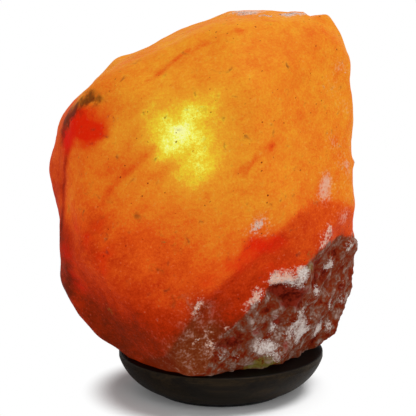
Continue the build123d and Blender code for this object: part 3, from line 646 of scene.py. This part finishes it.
# Frost haze on the skin, with a painted sheen along the right edges.
HAZE_AND_SHEEN_SPOTS = [
    (62, -44, 140, 5, 0.9), (75, -31, 150, 5, 1.0), (59, -47, 136, 6, 0.7), (64, -44, 131, 6, 0.8),
    (75, -31, 119, 7, 0.7), (79, -15, 104, 6, 0.6), (71, -26, 207, 5, 0.5), (74, -27, 184, 5, 0.5),
    (61, -50, 107, 6, 0.6), (69, -31, 196, 5, 0.35), (60, 46, 190, 8, 0.6), (30, 66, 206, 7, 0.5),
    (-30, 66, 196, 8, 0.5), (84, 20, 160, 7, 0.6), (-60, 58, 150, 7, 0.4), (69, -35, 164, 6, 0.45),
    (73, -32, 138, 6, 0.5), (23, -72, 120, 8, 0.55), (80, -18, 130, 6, 0.4), (-14, -77, 70, 9, 0.3),
]
# Pockets sunk in the crust; their dark red colour is painted shade and glow.
SHADED_POCKET_SPOTS = [
    (31, -59, 78, 6, 0.8), (39, -56, 76, 7, 1.1), (49, -49, 76, 5, 0.8), (47, -49, 68, 4, 0.6),
    (55, -48, 91, 6, 0.8), (60, -38, 80, 5, 0.7), (64, -22, 73, 5, 0.7), (0, -67, 50, 4, 0.6),
    (7, -64, 49, 5, 0.9), (20, -59, 54, 5, 0.8), (30, -54, 60, 5, 0.6), (12, -60, 44, 4, 0.6),
    (36, -50, 44, 4, 0.4), (60, -26, 52, 4, 0.4), (28, -52, 48, 3, 0.5),
]
CLAY_SPOTS = [
    (-13, -77, 71, 9, 0.7), (-7, -71, 58, 10, 0.9), (-14, -72, 45, 11, 1.0), (-4, -66, 36, 10, 0.9),
    (-30, -76, 46, 10, 0.5), (-22, -77, 57, 8, 0.5), (2, -71, 76, 6, 0.4), (-20, -70, 33, 10, 0.9),
    (-38, -60, 34, 9, 0.5), (44, -38, 42, 8, 0.8), (37, -52, 52, 6, 0.6),
]
OLIVE_SPOTS = [
    (14, -50, 30, 5, 0.9), (25, -50, 31, 7, 1.2), (34, -46, 29, 5, 0.9), (71, 6, 47, 5, 0.6),
    (66, 2, 34, 4, 0.6), (50, -55, 92, 4, 0.7), (52, -54, 101, 4, 0.8), (59, -20, 54, 4, 0.6),
    (70, -4, 59, 5, 0.7), (66, -30, 92, 4, 0.4), (-69, -55, 66, 4.5, 0.55), (-37, -70, 76, 5, 0.6),
    (-43, -74, 100, 3.5, 0.6), (-33, -75, 113, 3.5, 0.5), (-56, -69, 122, 4, 0.5), (-27, -74, 62, 5, 0.4),
    (-14, -55, 32, 5, 0.3),
]


def stirred(points):
    """The points with a small wandering shift, which frays the edge of what is placed by them."""
    moved = points
    for height, width, start, order in ((2.0, 6.3, 1, [1, 2, 0]), (1.2, 2.7, 2, [2, 0, 1]),
                                        (0.7, 1.5, 0, [1, 0, 2])):
        moved = moved + height * np.sin(points[:, order] / width + start)
    return moved


def soft_spots(points, places):
    """At each point, the sum of soft round spots."""
    total = np.zeros(len(points))
    for *centre, reach, amount in places:
        total += amount * np.exp(-(np.linalg.norm(points - centre, axis=1) / reach) ** 2)
    return total


def soft_veins(points, places):
    """At each point, the sum of soft veins along straight lines."""
    total = np.zeros(len(points))
    for start, end, width, amount in places:
        start, run = np.array(start, float), np.subtract(end, start).astype(float)
        share = np.clip((points - start) @ run / (run @ run), 0, 1)
        distance = np.linalg.norm(points - start - share[:, None] * run, axis=1)
        total += amount * np.exp(-(distance / width) ** 2)
    return total


def eased(low, high, value):
    """0 before low, 1 past high, and a smooth change between them."""
    share = np.clip((value - low) / (high - low), 0, 1)
    return share * share * (3 - 2 * share)


def along_line(across, line):
    """The level, or the amount, that a line of (across, level) pairs has at each place across."""
    return np.interp(across, *zip(*line))


def normals_of(mesh):
    """The mesh's outward directions at its points."""
    flat = np.zeros(3 * len(mesh.vertices), np.float32)
    mesh.vertex_normals.foreach_get("vector", flat)
    return flat.reshape(-1, 3).astype(float)


def worn_smooth(mesh, rounds, share):
    """Moves each point towards the mean of its neighbours, round after round, by its own share."""
    edges = np.zeros(2 * len(mesh.edges), np.int32)
    mesh.edges.foreach_get("vertices", edges)
    edges = edges.reshape(-1, 2)
    points = points_of(mesh)
    count = np.bincount(edges.ravel(), minlength=len(points))[:, None]
    for _ in range(rounds):
        total = np.zeros_like(points)
        for here, there in ((0, 1), (1, 0)):
            for axis in range(3):
                total[:, axis] += np.bincount(edges[:, here], points[edges[:, there], axis], len(points))
        points += share[:, None] * (total / count - points)
    put_points(mesh, points)


def bore_rods(bottom, spare):
    """Upright rods that fill the stone's bore and its anchor holes, wider and longer by a spare amount."""
    holes = [(BORE_RADIUS, BORE_TOP, 0.0, 0.0, 96)]
    for angle in map(math.radians, ANCHOR_ANGLES):
        holes.append((ANCHOR_HOLE_RADIUS, ANCHOR_HOLE_TOP, ANCHOR_CIRCLE * math.cos(angle),
                      ANCHOR_CIRCLE * math.sin(angle), 24))
    rods = bmesh.new()
    for radius, top, across, along, sides in holes:
        middle = Vector((across, along, (bottom + top + spare) / 2)) * MM
        bmesh.ops.create_cone(
            rods, cap_ends=True, segments=sides, radius1=(radius + spare) * MM,
            radius2=(radius + spare) * MM, depth=(top + spare - bottom) * MM,
            matrix=Matrix.Translation(middle))
    mesh = bpy.data.meshes.new("bore_rods")
    rods.to_mesh(mesh)
    rods.free()
    return mesh


def new_holder(name, mesh):
    """A passing object that holds a mesh while it is worked on."""
    holder = bpy.data.objects.new(name, mesh)
    bpy.context.scene.collection.objects.link(holder)
    return holder


def hewn_block():
    """The stone with its chunks and without its bore, as an even net of small faces."""
    block = bmesh.new()
    block.from_mesh(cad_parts["salt_crystal"].data)
    block.from_mesh(bore_rods(STONE_FOOT, FILL_SPARE))
    mesh = bpy.data.meshes.new("hewn_block")
    block.to_mesh(mesh)
    block.free()
    holder = new_holder("hewn_block", mesh)
    net = holder.modifiers.new("net", "REMESH")
    net.mode = "VOXEL"
    net.voxel_size = STONE_NET
    return mesh_from(holder)


def bored(mesh):
    """The stone's mesh with its bore and anchor holes cut."""
    block = new_holder("unbored", mesh)
    drills = new_holder("drills", bore_rods(STONE_FOOT - DRILL_OVERRUN, 0.0))
    cut = block.modifiers.new("bore", "BOOLEAN")
    cut.operation = "DIFFERENCE"
    cut.solver = "EXACT"
    cut.object = drills
    result = mesh_from(block)
    bpy.data.objects.remove(drills)
    return result


def crust_share(points):
    """How far each point lies inside the crust: right and low, and on the foot but for its front left."""
    across, along, level = points.T
    crust_edge, foot_edge, right_edge, back_edge = (-5, 7), (-4, 4), (-12, 0), (0, 20)
    line = along_line(across, CRUST_LINE) - CRUST_DROP * np.maximum(along - CRUST_DROP_START, 0)
    right_or_back = np.maximum(eased(*right_edge, across), eased(*back_edge, along))
    ragged_foot = eased(*foot_edge, RAGGED_FOOT - level) * right_or_back
    return np.maximum(eased(*crust_edge, line - stirred(points)[:, 2]), RAGGED_MOST * ragged_foot)


def inner_glow(points):
    """How brightly the salt's painted glow shines: by level, by spots and veins, less under the crease, where
    the wall is thick, and less along the left rim. Both fade towards the back."""
    across, along, level = points.T
    right_gain = 0.15        # the glow grows to the right as it does upwards, but so much slower
    vein_fray = 0.4
    crease_shade, crease_softness, crease_wave, crease_wavelength = 0.17, 8, 4, 9
    rim_shade, rim_softness, rim_place = 0.2, 9, -88
    crease_fade, rim_fade = (20, -30), (45, -10)
    glow = along_line(level + right_gain * across, GLOW_BY_LEVEL)
    glow += soft_spots(points, WARM_SPOTS) + soft_spots(points, DULL_SPOTS)
    glow += soft_veins((1 - vein_fray) * points + vein_fray * stirred(points), DARK_VEINS)
    crease = along_line(across, CREASE_LINE) + crease_wave * np.sin(along / crease_wavelength)
    glow -= crease_shade * eased(0, crease_softness, crease - level) * eased(*crease_fade, along)
    wandering_rim = rim_place + 3 * np.sin(level / 13 + 1) + 2 * np.sin(level / 5.3)
    glow -= rim_shade * eased(0, rim_softness, wandering_rim - across) * eased(*rim_fade, along)
    return glow


def relief_growth(material):
    """A tree that roughens the block: swells, ripples and scallops all over, and lumps and crumbs on the
    crust. It leaves the sawn foot flat, and keeps the lumps' height for the crust's colour and its painted
    shade."""
    names = ("Swell", "Ripple", "Lump", "Crumb", "Scallop")
    tree, add, sizes = new_growth("salt_relief", {
        name + part: 1 * MM for name in names for part in (" Size", " Height")})
    place = add("GeometryNodeInputPosition")
    crust = add("GeometryNodeInputNamedAttribute", {"Name": "crust"}, data_type="FLOAT")
    free = add("GeometryNodeInputNamedAttribute", {"Name": "free"}, data_type="FLOAT")
    scales = {name: add("ShaderNodeMath", {0: 1.0, 1: sizes[name + " Size"]}, operation="DIVIDE")
              for name in names}
    forms, heights = {}, {}
    for name, detail in (("Swell", 2.0), ("Ripple", 3.0), ("Lump", 2.0), ("Crumb", 3.0)):
        noise = add("ShaderNodeTexNoise", {"Vector": place, "Scale": scales[name], "Detail": detail})
        forms[name] = add("ShaderNodeMath", {0: noise, 1: 0.5}, operation="SUBTRACT")
    forms["Scallop"] = add("ShaderNodeTexVoronoi", {
        "Vector": place, "Scale": scales["Scallop"], "Smoothness": 0.6}, feature="SMOOTH_F1")
    for name in names:
        heights[name] = add("ShaderNodeMath", {
            0: forms[name], 1: sizes[name + " Height"]}, operation="MULTIPLY")
    crumbly = add("ShaderNodeMath", {0: heights["Lump"], 1: heights["Crumb"]}, operation="ADD")
    smooth = add("ShaderNodeMath", {0: heights["Swell"], 1: heights["Ripple"]}, operation="ADD")
    rough = add("ShaderNodeMath", {
        0: crumbly, 1: crust, 2: heights["Scallop"]}, operation="MULTIPLY_ADD")
    height = add("ShaderNodeMath", {0: smooth, 1: rough}, operation="ADD")
    kept = add("ShaderNodeMath", {0: height, 1: free}, operation="MULTIPLY")
    shift = add("ShaderNodeVectorMath", {
        0: add("GeometryNodeInputNormal"), "Scale": kept}, operation="SCALE")
    tone = add("ShaderNodeMath", {0: forms["Crumb"], 1: 0.5, 2: forms["Lump"]}, operation="MULTIPLY_ADD")
    told = add("GeometryNodeStoreNamedAttribute", {
        "Geometry": sizes["Geometry"], "Name": "lump", "Value": tone}, data_type="FLOAT")
    end_growth(add, add("GeometryNodeSetPosition", {"Geometry": told, "Offset": shift}), material)
    return tree


def salt_patterns(add, place):
    """The stone's patterns, each centred on zero: its bed's slanting bands and finer lines, clouds of
    denser salt, and the mottle and grain of its crystals, the finest drawn coarse enough to show."""
    slanted = {}
    for name, slant, size in (("band", -42, (60.0, 24.0, 15.0)), ("line", -12, (16.0, 8.0, 1.8))):
        slanted[name] = add("ShaderNodeMapping", {
            "Vector": place, "Rotation": (0, math.radians(slant), 0), "Scale": size},
            vector_type="TEXTURE")
    patterns = {}
    for name, size, detail, bend in (
            ("band", 1.0, 4.0, 0.9), ("line", 1.0, 3.0, 0.8), ("cloud", 24.0, 4.0, 0.6),
            ("mottle", 6.0, 4.0, 0.4), ("grain", 1.5, 3.0, 0.0), ("fine", 0.8, 2.0, 0.0)):
        noise = add("ShaderNodeTexNoise", {
            "Vector": slanted.get(name, place), "Scale": 1 / size, "Detail": detail, "Distortion": bend,
            "Roughness": 0.55})
        patterns[name] = add("ShaderNodeMath", {0: noise, 1: 0.5}, operation="SUBTRACT")
    return patterns


def brown_specks(add, place, fine):
    """Where a speck of clay shows: few, ragged at the edge, and of many sizes and depths of colour."""
    spacing, raggedness, largest = 3.3, 1.6, 0.17
    shift = add("ShaderNodeVectorMath", {0: fine, "Scale": raggedness}, operation="SCALE")
    space = add("ShaderNodeVectorMath", {0: place, 1: shift}, operation="ADD")
    cells = add("ShaderNodeTexVoronoi", {"Vector": space, "Scale": 1 / spacing}).outputs
    chance = add("ShaderNodeSeparateColor", {"Color": cells["Color"]}).outputs
    size = add("ShaderNodeMapRange", {
        "Value": chance["Red"], "From Min": 0.45, "To Min": 0.0, "To Max": largest})
    speck = add("ShaderNodeMath", {0: cells["Distance"], 1: size}, operation="LESS_THAN")
    return add("ShaderNodeMath", {0: speck, 1: chance["Green"]}, operation="MULTIPLY")


def lit_rock_salt():
    """Oiled rock salt with a painted glow from inside: the glow's colour runs from ember to pale
    yellow, broken by slanting veins and fine cloud; the crust is dull pink and red-brown, and frost lies on
    it as white grains."""
    material, add, place = new_finish("lit_rock_salt")
    patterns = salt_patterns(add, place)
    marks = {key: add("ShaderNodeAttribute", attribute_name=key).outputs["Fac"] for key in (
        "glow", "red", "shade", "crust", "frost", "haze_and_sheen", "shaded_pocket", "olive", "clay", "lump")}

    def summed(start, amounts):
        """A value with patterns or marks added to it, each by its amount."""
        for amount, pattern in amounts:
            start = add("ShaderNodeMath", {0: pattern, 1: amount, 2: start}, operation="MULTIPLY_ADD")
        return start

    def laid(under, over, mark, pattern, spread, low, high, most):
        """A colour laid over another where a mark, its edge broken by a pattern, is strong, and its share."""
        edge = summed(marks[mark], [(spread, patterns[pattern])])
        share = add("ShaderNodeMapRange", {
            "Value": edge, "From Min": low, "From Max": high, "To Max": most},
            interpolation_type="SMOOTHSTEP")
        return add("ShaderNodeMix", {"Factor": share, "A": under, "B": over}, data_type="RGBA"), share

    # The glow, with iron-red and brown stains and the clay's veil in it, and dark specks.
    level = summed(marks["glow"], [(amount, patterns[name]) for name, amount in (
        ("band", 0.16), ("line", 0.07), ("cloud", 0.26), ("mottle", 0.2), ("grain", 0.2), ("fine", 0.14))])
    colour = add("ShaderNodeValToRGB", {"Fac": level}, stops=[
        (0.0, "#661a02"), (0.1, "#842002"), (0.2, "#a52602"), (0.32, "#c2370a"), (0.46, "#de5613"),
        (0.6, "#e57c1e"), (0.75, "#ec9f28"), (0.88, "#f0cf30"), (0.95, "#f8f65e"), (1.0, "#fdfda0")])
    colour, _ = laid(colour, linear("#da1002"), "red", "mottle", 0.9, 0.05, 1.0, 0.92)
    colour, _ = laid(colour, linear("#42200a"), "shade", "mottle", 2.4, 0.2, 1.15, 0.8)
    clay_tone = summed(0.5, [(1.0, patterns["mottle"]), (0.8, patterns["grain"])])
    clay_colour = add("ShaderNodeValToRGB", {"Fac": clay_tone}, stops=[
        (0.3, "#682608"), (0.52, "#783a1a"), (0.72, "#9c6f5f")])
    colour, _ = laid(colour, clay_colour, "clay", "mottle", 1.2, 0.1, 1.3, 0.85)
    colour = add("ShaderNodeMix", {
        "Factor": brown_specks(add, place, patterns["fine"]), "A": colour, "B": linear("#6e1c05")},
        data_type="RGBA")

    # The crust, from deep red in its hollows to grey-pink on its lumps: partly its own colour, partly painted
    # shade that darkens the hollows.
    crust_tone_and_hollow_shade = summed(0.49, [
        (0.9, marks["lump"]), (0.7, patterns["grain"]), (1.6, patterns["mottle"])])
    crust_colour = add("ShaderNodeValToRGB", {"Fac": crust_tone_and_hollow_shade}, stops=[
        (0.05, "#4e0e03"), (0.25, "#701c08"), (0.42, "#743016"), (0.56, "#704535"), (0.72, "#856659"),
        (0.9, "#a28c83")])
    colour, crust_mask = laid(colour, crust_colour, "crust", "mottle", 1.2, 0.3, 0.75, 0.95)

    # Frost: a thin haze that the glow tints, partly a painted sheen along the right edges, and clusters,
    # brown-grey where thin and white where thick.
    lit_frost = linear("#dfb7a2")
    colour, _ = laid(colour, lit_frost, "haze_and_sheen", "grain", 1.9, 0.2, 1.3, 0.65)
    thickness = summed(marks["frost"], [(1.3, patterns["grain"]), (0.7, patterns["mottle"])])
    crust_frost = add("ShaderNodeValToRGB", {"Fac": thickness}, stops=[
        (0.35, "#80645a"), (0.7, "#b09c93"), (1.0, "#ded5d0")])
    frost_colour = add("ShaderNodeMix", {
        "Factor": crust_mask, "A": lit_frost, "B": crust_frost}, data_type="RGBA")
    frost_mask = add("ShaderNodeMapRange", {
        "Value": thickness, "From Min": 0.35, "From Max": 0.85, "To Max": 0.92},
        interpolation_type="SMOOTHSTEP")
    colour = add("ShaderNodeMix", {
        "Factor": frost_mask, "A": colour, "B": frost_colour}, data_type="RGBA")

    # Painted shade and glow: the sunken pockets between the clusters are coloured dark red. Olive stains
    # here and there.
    pocket_shade_colour = add("ShaderNodeValToRGB", {"Fac": crust_tone_and_hollow_shade}, stops=[
        (0.3, "#420702"), (0.7, "#7c1d07")])
    colour, _ = laid(colour, pocket_shade_colour, "shaded_pocket", "mottle", 1.8, 0.25, 0.75, 0.96)
    colour, _ = laid(colour, linear("#706a2a"), "olive", "grain", 1.6, 0.3, 0.9, 0.8)

    # Clear salt shows mostly by its painted glow, crust and frost mostly by the room's light.
    veiled = add("ShaderNodeMath", {0: frost_mask, 1: 0.4}, operation="MULTIPLY")
    opaque = add("ShaderNodeMath", {0: crust_mask, 1: veiled}, operation="MAXIMUM")
    lit_share = add("ShaderNodeMapRange", {"Value": opaque, "To Min": 0.73, "To Max": 0.3})
    own_share = add("ShaderNodeMapRange", {"Value": opaque, "To Min": 0.24, "To Max": 0.62})
    emitted = add("ShaderNodeVectorMath", {0: colour, "Scale": lit_share}, operation="SCALE")
    body = add("ShaderNodeVectorMath", {0: colour, "Scale": own_share}, operation="SCALE")
    rough = add("ShaderNodeMapRange", {"Value": opaque, "To Min": 0.6, "To Max": 0.75})
    relief = add("ShaderNodeMath", {
        0: patterns["grain"], 1: opaque, 2: patterns["fine"]}, operation="MULTIPLY_ADD")
    bump = add("ShaderNodeBump", {"Height": relief, "Strength": 0.35, "Distance": 0.8 * MM})
    lay_finish(add, {"Base Color": body, "Emission Color": emitted, "Emission Strength": 1.0,
                     "Roughness": rough, "Normal": bump, "IOR": 1.54, "Specular IOR Level": 0.02})
    return material


def inside_box(points):
    """The points, held just inside the CAD model's box."""
    return np.clip(points, np.array(cad_low) / MM + BOX_CLEARANCE, np.array(cad_high) / MM - BOX_CLEARANCE)


stone_mesh = hewn_block()
stone_points = points_of(stone_mesh)
off_crease = np.abs(along_line(stone_points[:, 0], CREASE_LINE) - stone_points[:, 2])
worn_share = CREASE_WEAR + (1 - CREASE_WEAR) * eased(0, CREASE_REACH, off_crease)
worn_share *= 1 - (1 - CRUST_WEAR) * crust_share(stone_points)
worn_smooth(stone_mesh, WEAR_ROUNDS, worn_share)
stone_points = points_of(stone_mesh)
rise = (soft_spots(stone_points, BULGES_AND_HOLLOWS) + CLUSTER_RISE * soft_spots(stone_points, FROST_SPOTS)
        - POCKET_DEPTH * soft_spots(stone_points, SHADED_POCKET_SPOTS))
stone_points += normals_of(stone_mesh) * rise[:, None]
stone_points[:, 2] = np.minimum(stone_points[:, 2], along_line(stone_points[:, 0], SKYLINE))
put_points(stone_mesh, stone_points)
put_attribute(stone_mesh, "crust", crust_share(stone_points))
above_foot = eased(STONE_FOOT + RELIEF_START, STONE_FOOT + RELIEF_FULL, stone_points[:, 2])
put_attribute(stone_mesh, "free", above_foot)
rock_salt = lit_rock_salt()
stone_mesh = grown_mesh(relief_growth(rock_salt), stone_mesh, {
    "Swell Size": SWELL_SIZE, "Swell Height": SWELL_HEIGHT,
    "Scallop Size": SCALLOP_SIZE, "Scallop Height": SCALLOP_HEIGHT,
    "Ripple Size": RIPPLE_SIZE, "Ripple Height": RIPPLE_HEIGHT,
    "Lump Size": LUMP_SIZE, "Lump Height": LUMP_HEIGHT,
    "Crumb Size": CRUMB_SIZE, "Crumb Height": CRUMB_HEIGHT})
stone_points = inside_box(points_of(stone_mesh))
stone_points[:, 2] = np.maximum(stone_points[:, 2], STONE_FOOT)
put_points(stone_mesh, stone_points)
stone_mesh = bored(stone_mesh)

stone_points = points_of(stone_mesh)
frayed = stirred(stone_points)
stone_level = stone_points[:, 2]
off_axis = np.hypot(stone_points[:, 0], stone_points[:, 1])
in_bore = (off_axis < BORE_RADIUS + BORE_SKIN) & (stone_level < BORE_TOP + BORE_SKIN)
frost = soft_spots(frayed, FROST_SPOTS) + soft_veins(frayed, FROST_STREAKS)
# The painted glow, and a brighter one on the bore's wall.
put_attribute(stone_mesh, "glow", np.where(in_bore, BORE_GLOW, inner_glow(stone_points)))
put_attribute(stone_mesh, "crust", np.where(in_bore, 0, crust_share(stone_points)))
put_attribute(stone_mesh, "frost", frost)
for key, spots in (("red", RED_SPOTS), ("shade", SHADE_SPOTS), ("haze_and_sheen", HAZE_AND_SHEEN_SPOTS),
                   ("shaded_pocket", SHADED_POCKET_SPOTS), ("olive", OLIVE_SPOTS), ("clay", CLAY_SPOTS)):
    put_attribute(stone_mesh, key, soft_spots(frayed, spots))
stone_mesh.shade_smooth()
stone = new_piece("hewn_salt_stone", stone_mesh, rock_salt)
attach(stone, "base")
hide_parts("salt_crystal")

# ------------------------------------------------------------------ halite grains
# Halite crystals stand on the crust and in the frost. They grew there as small sharp-edged cubes,
# of 0.2 to 0.6 mm, and lie thickest where the frost is thick.
GRAINS = 1500000.0           # to the square metre, where they lie thickest
GRAIN_SMALLEST, GRAIN_LARGEST = 0.2 * MM, 0.6 * MM
FROST_START, FROST_GAIN = 0.42, 1.6      # the frost that grains begin at, and how fast they thicken
GRAIN_CLEARANCE = 1.5        # millimetres above the sawn foot that stay free of them


def halite_crystals():
    """Small clear-white cubes of salt: their sharp faces glint, dusted pink-grey where clay clings."""
    material, add, place = new_finish("halite_crystals")
    clay_size = 5.0
    clay = add("ShaderNodeTexNoise", {"Vector": place, "Scale": 1 / clay_size, "Detail": 3.0})
    colour = add("ShaderNodeValToRGB", {"Fac": clay}, stops=[
        (0.3, "#8d5a45"), (0.42, "#a88f84"), (0.58, "#c3b6af"), (0.75, "#e2dbd7")])
    lay_finish(add, {"Base Color": colour, "Roughness": 0.35, "IOR": 1.54, "Specular IOR Level": 0.4})
    return material


grain_spread = np.clip(FROST_GAIN * (frost - FROST_START), 0, 1)
grain_spread[in_bore | (stone_level < STONE_FOOT + GRAIN_CLEARANCE)] = 0
put_attribute(stone_mesh, "spread", grain_spread)
crystals = halite_crystals()
grain_growth = scattered_growth("halite_grains", crystals, "GeometryNodeMeshCube", {"Size": (1, 1, 1)})
grain_mesh = grown_mesh(grain_growth, stone_mesh, {
    "Per Square Metre": GRAINS, "Smallest": GRAIN_SMALLEST, "Largest": GRAIN_LARGEST, "Lean": math.pi})
put_points(grain_mesh, inside_box(points_of(grain_mesh)))
grains = new_piece("halite_grains", grain_mesh, crystals)
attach(grains, "base")

# ------------------------------------------------------------------ table, light and camera
# The lamp stands on a plain pale table, under two large soft lights and an even white surround.
# The camera looks a little down at it from the front, at the photograph's distance.
TABLE_SIZE = 3.0
LAMP_MIDDLE = Vector((-8.2, 0.0, 117.0)) * MM    # what the middle of the photograph shows
VIEW_DISTANCE = 1.0
VIEW_RISE = math.radians(11.32)
VIEW_FOCAL_PIXELS = 1592.4                       # the lens, in pixels of a frame as wide as FRAME_PIXELS
FRAME_PIXELS = 416
FILM_WIDTH = 36.0
SURROUND_LIGHT = 0.32        # the surround's strength as a light; to the camera it is 1


def pale_table():
    """A white matt table top. To the camera it takes the lamp's shadow near the foot and is plain white
    further out, and from below it isn't there."""
    material, add, place = new_finish("white_matt_table")
    shadow_middle = (-8.0, -4.0, 0.0)
    shadow_reach, plain_reach = 58.0, 82.0
    camera_lift = 0.06
    seen = add("ShaderNodeLightPath").outputs["Is Camera Ray"]
    matt = add("ShaderNodeBsdfDiffuse", {"Color": linear("#f2f2f2")})
    lift = add("ShaderNodeEmission", {
        "Color": linear("#ffffff"),
        "Strength": add("ShaderNodeMath", {0: seen, 1: camera_lift}, operation="MULTIPLY")})
    top = add("ShaderNodeAddShader", {0: matt, 1: lift})
    white = add("ShaderNodeEmission", {"Color": linear("#ffffff"), "Strength": 1.0})
    from_middle = add("ShaderNodeVectorMath", {0: place, 1: shadow_middle}, operation="SUBTRACT")
    distance = add("ShaderNodeVectorMath", {0: from_middle}, operation="LENGTH").outputs["Value"]
    far = add("ShaderNodeMapRange", {
        "Value": distance, "From Min": shadow_reach, "From Max": plain_reach},
        interpolation_type="SMOOTHSTEP")
    seen_far = add("ShaderNodeMath", {0: far, 1: seen}, operation="MULTIPLY")
    faded = add("ShaderNodeMixShader", {0: seen_far, 1: top, 2: white})
    below = add("ShaderNodeNewGeometry").outputs["Backfacing"]
    surface = add("ShaderNodeMixShader", {0: below, 1: faded, 2: add("ShaderNodeBsdfTransparent")})
    add("ShaderNodeOutputMaterial", {"Surface": surface})
    return material


def soft_light(name, place, size, watts):
    """A large square softbox that faces the lamp."""
    data = bpy.data.lights.new(name, "AREA")
    data.size = size
    data.energy = watts
    light = bpy.data.objects.new(name, data)
    light.location = place
    light.rotation_euler = (LAMP_MIDDLE - light.location).to_track_quat("-Z", "Y").to_euler()
    bpy.context.scene.collection.objects.link(light)


def white_surround():
    """A white world: full white to the camera, in gloss and through glass, and a soft light on the lamp."""
    world = bpy.data.worlds.new("white_surround")
    world.use_nodes = True
    world.node_tree.nodes.clear()
    add = partial(add_node, world.node_tree)
    paths = add("ShaderNodeLightPath").outputs
    seen = paths["Is Camera Ray"]
    for path in ("Is Glossy Ray", "Is Transmission Ray"):
        seen = add("ShaderNodeMath", {0: seen, 1: paths[path]}, operation="MAXIMUM")
    brightness = add("ShaderNodeMapRange", {"Value": seen, "To Min": SURROUND_LIGHT, "To Max": 1.0})
    surround = add("ShaderNodeBackground", {"Color": linear("#ffffff"), "Strength": brightness})
    add("ShaderNodeOutputWorld", {"Surface": surround})
    return world


table_mesh = bpy.data.meshes.new("table")
half = TABLE_SIZE / 2
table_corners = [(-half, -half, 0), (half, -half, 0), (half, half, 0), (-half, half, 0)]
table_mesh.from_pydata(table_corners, [], [(0, 1, 2, 3)])
table = new_piece("table", table_mesh, pale_table())

soft_light("key_softbox", Vector((0.55, -0.25, 1.35)), size=0.6, watts=16.0)
soft_light("fill_softbox", Vector((0.45, -1.3, 0.8)), size=0.9, watts=5.0)
bpy.context.scene.world = white_surround()

camera_data = bpy.data.cameras.new("view")
camera_data.sensor_width = FILM_WIDTH
camera_data.lens = VIEW_FOCAL_PIXELS / FRAME_PIXELS * FILM_WIDTH
camera = bpy.data.objects.new("view", camera_data)
camera.location = LAMP_MIDDLE + VIEW_DISTANCE * Vector((0, -math.cos(VIEW_RISE), math.sin(VIEW_RISE)))
camera.rotation_euler = (math.pi / 2 - VIEW_RISE, 0, 0)
bpy.context.scene.collection.objects.link(camera)
bpy.context.scene.camera = camera
bpy.context.scene.view_settings.view_transform = "Standard"
